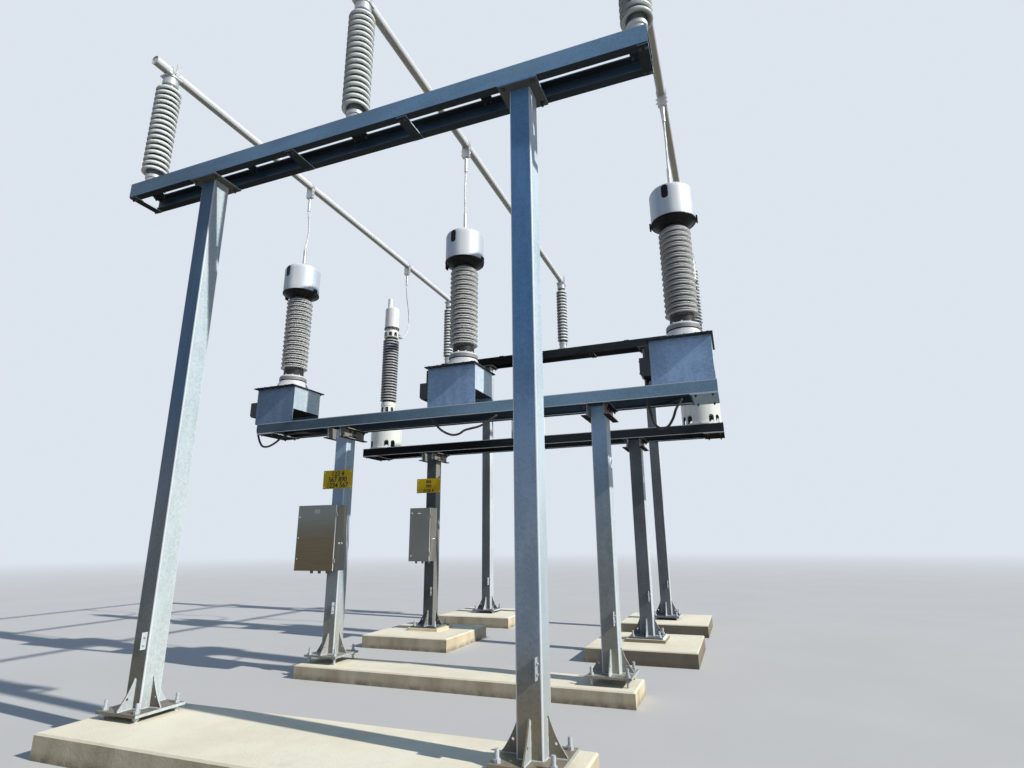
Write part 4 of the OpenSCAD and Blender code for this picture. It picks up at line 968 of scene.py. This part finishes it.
def make_column_details(look):
    """Washers and threads at the anchors, lug bolts, and welds where plates meet the shafts."""
    shape, weld = Shape(), Shape()
    for y in (FRONT_Y, VT_Y, CT_Y, REAR_Y):
        for x in COLUMNS:
            for at in corners(x, y, 0.2, 0.2):
                anchor_thread(shape, at)
            for z in (0.27, 0.73):
                lug = (y - 0.1275, FOOTING + 0.57 + 0.15 * z)
                shape.bolt((x + 0.068, *lug), RIGHT, 0.012, 0.5)
                shape.bolt((x + 0.06, *lug), LEFT, 0.012, 0)
            for k in range(4):
                gusset_welds(weld, Vector((x, y, PLATE_TOP)), Matrix.Rotation(math.pi / 2 * k, 3, "Z"))
    shape.piece("anchor_threads", look, slot="galvanised")
    weld.piece("weld_beads", look, slot="galvanised", sharp=70)


# Heads, cabinets and signs


def make_sight_glasses(glass, rim_look):
    """A pane, its rim and three bars at the slot of each head, which is turned to the left."""
    pane, rim = Shape(), Shape()
    turn = math.radians(12)
    out = Vector((-math.sin(turn), -math.cos(turn), 0))
    across = Vector((math.cos(turn), -math.sin(turn), 0))
    stand = Matrix((across, Vector(UP), out)).transposed().to_4x4()
    for x in PHASES:
        place = Matrix.Translation(Vector((x, VT_Y, VT_HEAD + 0.3225)) + out * 0.2665) @ stand
        pane.prism(oblong(0.078, 0.185), 0, 0.004, place, 0.002)
        rim.frame_ring(oblong(0.087, 0.194), oblong(0.076, 0.183), 0, 0.009, place)
        for z in (-0.04, 0.0, 0.04):
            rim.prism(rectangle(0.03, 0.0015, z), 0.004, 0.0052, place)
    pane.piece("sight_glasses", glass)
    rim.piece("sight_glass_rims", rim_look)


def make_bus_ends(look):
    """Domed stoppers just inside the ends of the busbars."""
    shape = Shape()
    dome = [(0.0528, -0.03), (0.0528, -0.008), (0.048, -0.004), (0.03, 0.0), (0, 0.001)]
    for node in ("bus_left", "bus_middle", "bus_right"):
        low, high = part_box(node)
        x, z = (low.x + high.x) / 2, (low.z + high.z) / 2
        for y, way in ((low.y, -1), (high.y, 1)):
            shape.lathe(dome, facing((x, y - way * 0.004, z), (0, way, 0)), 32)
    shape.piece("bus_stoppers", look, slot="bare_aluminium")


def lock(shape, point, r):
    """A quarter-turn cabinet lock with a bar across its key slot."""
    place = facing(point, FRONT)
    cup = [(r, 0), (r, 0.002), (r * 0.82, 0.004), (r * 0.62, 0.004), (r * 0.62, 0.0015), (0, 0.0015)]
    shape.lathe(cup, place, 20)
    shape.prism(rectangle(r * 0.5, 0.0012), 0.0015, 0.0035, place)


def label(shape, half_width, half_height, point):
    """A small blank plate on a door."""
    shape.prism(rectangle(half_width, half_height), 0, 0.0012, facing(point, FRONT), 0.001)


def door_locks(low, high, inset, r, shares):
    """Locks at these shares of a door's height, near its left edge."""
    door = Shape()
    for share in shares:
        lock(door, (low.x + inset, low.y, low.z + (high.z - low.z) * share), r)
    return door


def make_cabinet_details(bright, plate_look):
    """Locks and blank labels on both doors, and two fixings on the right side of each cabinet."""
    low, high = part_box("marshalling_door")
    door = door_locks(low, high, 0.03, 0.011, (0.18, 0.5, 0.82))
    door.piece("marshalling_locks", bright, "marshalling_door", "stainless")
    plate = Shape()
    label(plate, 0.045, 0.03, (low.x + BOX_WIDTH / 2, low.y, high.z - 0.085))
    plate.piece("blank_plate", plate_look, "marshalling_door")
    low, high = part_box("kiosk_door")
    door = door_locks(low, high, 0.045, 0.016, (0.1, 0.9))
    label(door, 0.032, 0.009, (low.x + 0.19, low.y, high.z - 0.095))
    door.piece("kiosk_locks", bright, "kiosk_door", "stainless")
    side = Shape()
    for node, width in (("marshalling_box", BOX_WIDTH), ("kiosk_box", KIOSK_WIDTH)):
        low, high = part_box(node)
        bottom = low.z + 0.04
        height = bottom + (high.z - bottom) * 0.41
        for dy in (0.1, 0.155):
            side.bolt((low.x + width, low.y + dy, height), RIGHT, 0.014, 0)
    side.piece("cabinet_side_bolts", bright, slot="stainless")


def row_mesh(row, size, place):
    """A row of numbers as a thin solid. The small offset makes its strokes bolder."""
    words = bpy.data.curves.new("row", "FONT")
    words.body = row
    words.size = size
    words.align_x = "CENTER"
    words.extrude = 0.0003
    words.offset = 0.0025
    maker = new_object("row", words)
    bpy.context.view_layer.update()
    mesh = bpy.data.meshes.new_from_object(maker)
    bpy.data.objects.remove(maker)
    mesh.transform(Matrix.Translation(place) @ Matrix.Rotation(math.pi / 2, 4, "X"))
    mesh.materials.clear()
    return mesh


def make_sign_numbers(ink, bolt_look):
    """Rows of plain numbers and four fixings on each sign."""
    pins = Shape()
    signs = (("box", -1.93, VT_Y, FOOTING + 2.245, 0.098, ("123 4", "567 890", "1234 567")),
             ("kiosk", -1.962, CT_Y, FOOTING + 2.375, 0.078, ("456", "789", "0123 4")))
    for name, x, y, bottom, size, rows in signs:
        front = y - 0.103
        for k, row in enumerate(rows):
            mesh = row_mesh(row, size, (x, front - 0.0006, bottom + 0.18 - 0.082 * k))
            mesh.materials.append(ink)
            made = new_object(f"{name}_sign_row_{k + 1}", mesh)
            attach(made, "bay")
        for dx in (-0.225, 0.225):
            for dz in (0.025, 0.24):
                pins.bolt((x + dx, front, bottom + dz), FRONT, 0.008, 0, 1.2)
    pins.piece("sign_fixings", bolt_look, slot="stainless")


# The scene


def dress(look, *names):
    for name in names:
        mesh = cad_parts[name].data
        for k in range(len(mesh.materials)):
            mesh.materials[k] = look


def post_zinc(name, high, low, foot, **how):
    return galvanised(name, high, (low, foot), underside_shade_colour=(0.15, 0.14, 0.11), **how)


def dress_columns():
    # Each column gets its own copy of the zinc, lighter or darker as painted light and shade; the copies for
    # the columns further back and for the brackets and boxes under the tanks are painted shade.
    dress(post_zinc("post_zinc_a", (0.13, 0.28, 0.50), (0.36, 0.44, 0.53), (0.28, 0.24, 0.17), lit_low=0.6),
          "front_column_right")
    dress(post_zinc("post_zinc_b", (0.08, 0.15, 0.25), (0.20, 0.225, 0.23), (0.20, 0.18, 0.14)),
          "front_column_left")
    dress(post_zinc("post_zinc_c", (0.38, 0.58, 0.80), (0.32, 0.35, 0.36), (0.32, 0.30, 0.25)),
          "vt_column_right")
    dress(post_zinc("post_zinc_d", (0.40, 0.56, 0.76), (0.34, 0.40, 0.46), (0.34, 0.33, 0.28), share=0.25),
          "vt_column_left")
    dark = galvanised("shaded_zinc", (0.155, 0.172, 0.190), lit=(0.88, 0.93, 0.93), share=0.85)
    dress(dark, "ct_column_right", "rear_column_left", "rear_column_right")
    dull = galvanised("deep_shaded_zinc", (0.085, 0.095, 0.105), lit=(0.40, 0.38, 0.32), share=0.6)
    dress(dull, "ct_column_left", "cross_brackets", "vt_terminal_boxes")


def dress_beams():
    """The two beams at the front carry a painted reflection of the blue sky and painted shade towards -X,
    and the two at the back are nearly black as painted shade.
    """
    beam = {"stretch": (0.2, 1, 1)}
    black = {**beam, "bloom": 0.0, "share": 0.4, "metallic": 0.0, "shine": 0.06, "fade": 0.97,
             "span": (-1.2, 0.5)}
    edges = (LOW_BEAM, LOW_TOP)
    dress(galvanised("front_zinc", (0.235, 0.40, 0.58), fade=0.5, middle=FRONT_Y, **beam), "front_beam")
    dress(galvanised("vt_zinc", (0.255, 0.40, 0.53), fade=0.72, span=(-1.8, 0.5), middle=VT_Y, edges=edges,
                     sunlit_end=True, **beam), "vt_beam")
    dress(galvanised("ct_zinc", (0.042, 0.048, 0.054), edges=edges, **black), "ct_beam")
    dress(galvanised("rear_zinc", (0.042, 0.048, 0.054), **black), "rear_beam")


def dress_porcelain():
    dress(porcelain("front_glaze", FRONT_Y, 0.086, 0.11, (0.24, 0.26, 0.25), (0.92, 0.97, 0.93),
                    (0.80, 0.80, 0.75), 0.3), "front_insulators")
    dress(porcelain("rear_glaze", REAR_Y, 0.076, 0.096, (0.22, 0.24, 0.24), (0.86, 0.90, 0.88),
                    (0.76, 0.75, 0.70), 0.3), "rear_insulators")
    dress(porcelain("vt_glaze", VT_Y, 0.136, 0.158, (0.20, 0.20, 0.20), (0.97, 0.98, 0.96),
                    (0.82, 0.81, 0.77), 0.25), "vt_porcelain")
    dress(porcelain("brown_glaze", CT_Y, 0.12, 0.155, (0.03, 0.025, 0.02), (0.48, 0.48, 0.49),
                    (0.35, 0.34, 0.33), 0.3), "ct_porcelain")


def make_floor():
    shape = Shape()
    shape.lathe([(400, 0), (60, 0), (12, 0), (0, 0)], Matrix.Translation((0, 4, -0.002)), 64)
    mesh = bpy.data.meshes.new("floor")
    mesh.from_pydata(shape.verts, [], shape.faces)
    mesh.materials.append(floor_look())
    floor = new_object("floor", mesh)


def make_sun():
    sun = bpy.data.lights.new("sun", "SUN")
    sun.energy = SUN_POWER
    sun.angle = SUN_WIDTH
    sun.color = SUN_COLOUR
    new_object("sun", sun).rotation_euler = SUN_FROM.to_track_quat("Z", "Y").to_euler()


def make_sky():
    """Blue light from all round on matt faces, and a pale backdrop for the eye and for reflections."""
    world = bpy.data.worlds.new("studio")
    world.use_nodes = True
    bpy.context.scene.world = world
    m = Nodes(world.node_tree)
    fill = m.nodes["Background"]
    fill.inputs[0].default_value = SKY_COLOUR
    fill.inputs[1].default_value = SKY_POWER
    m.blend(m.seen(), fill, m.node("Background", Color=BACKDROP), "World Output")
    bpy.context.scene.view_settings.view_transform = "Standard"


make_camera()
dress_columns()
dress_beams()
# The tanks' blue is a painted sky reflection, darkened towards -X as painted shade, with a painted shadow
# under the lid's rim.
dress(galvanised("tank_zinc", (0.34, 0.50, 0.74), grain=40, bloom=0.3, spread=0.22, metallic=0.15, fade=0.5,
                 lid=VT_LID), "vt_tanks")
dark_bolts = cast_metal("dark_bolts", (0.05, 0.052, 0.055), (0.11, 0.115, 0.12), metallic=0.2)
bolt_zinc = galvanised("bolt_zinc", (0.50, 0.52, 0.54), grain=120, stretch=(1, 1, 1), share=0.4)
dress(bolt_zinc, "anchor_bolts")
dress_porcelain()
cast = cast_metal("cast", (0.40, 0.42, 0.43), (0.62, 0.63, 0.64))
dress(cast, "front_fittings", "rear_fittings")
dress(aluminium("tube_metal"), "bus_left", "bus_middle", "bus_right")
clamp_metal = cast_metal("clamp_metal", (0.46, 0.48, 0.49), (0.66, 0.67, 0.67), (0.34, 0.5), 0.5)
dress(clamp_metal, "front_clamps", "rear_clamps", "dropper_clamps")
black_cast = black_casting()
dress(black_cast, "vt_collars")
dress(stainless(), "marshalling_box", "marshalling_door")
bright = cast_metal("bright", (0.58, 0.59, 0.60), (0.74, 0.75, 0.75), (0.2, 0.35), 0.8)
dress(turret_cast(), "vt_turrets")
dress(hat_metal(), "vt_heads")
dress(ct_paint(), "ct_tanks", "ct_heads")
# the kiosk's side gets the same painted shade, reflection streaks and edge highlight
dress(painted("grey_enamel", (0.34, 0.34, 0.31), (0.20, 0.20, 0.18),
              side=("kiosk_door", KIOSK_WIDTH, (0.155, 0.15, 0.135))), "kiosk_box", "kiosk_door")
dress(painted("ochre", (0.86, 0.58, 0.008), (0.50, 0.32, 0.02)), "sign_plates")
dress(concrete(), "front_footing", "vt_footing", "ct_pads", "rear_pads", "ct_grout")

make_leads(strand("lead_strands", (0.88, 0.90, 0.91), 10, 0.22, 0.45))
make_conduits(strand("ribbed_black", (0.018, 0.018, 0.019), 0, 0.007, 0.45), black_cast)
make_beam_bolts(dark_bolts)
make_bracket_bolts(dark_bolts)
make_tank_bolts(dark_bolts, bright)
make_ct_bolts(cast)
make_clamp_bolts(bright)
make_column_details(bolt_zinc)
make_sight_glasses(glass_black(), black_cast)
make_bus_ends(clamp_metal)
make_cabinet_details(bright, painted("plate_grey", (0.55, 0.56, 0.56), (0.3, 0.3, 0.3)))
make_sign_numbers(painted("ink", (0.015, 0.015, 0.016), (0.05, 0.045, 0.03)), bright)
make_floor()
make_sun()
make_sky()
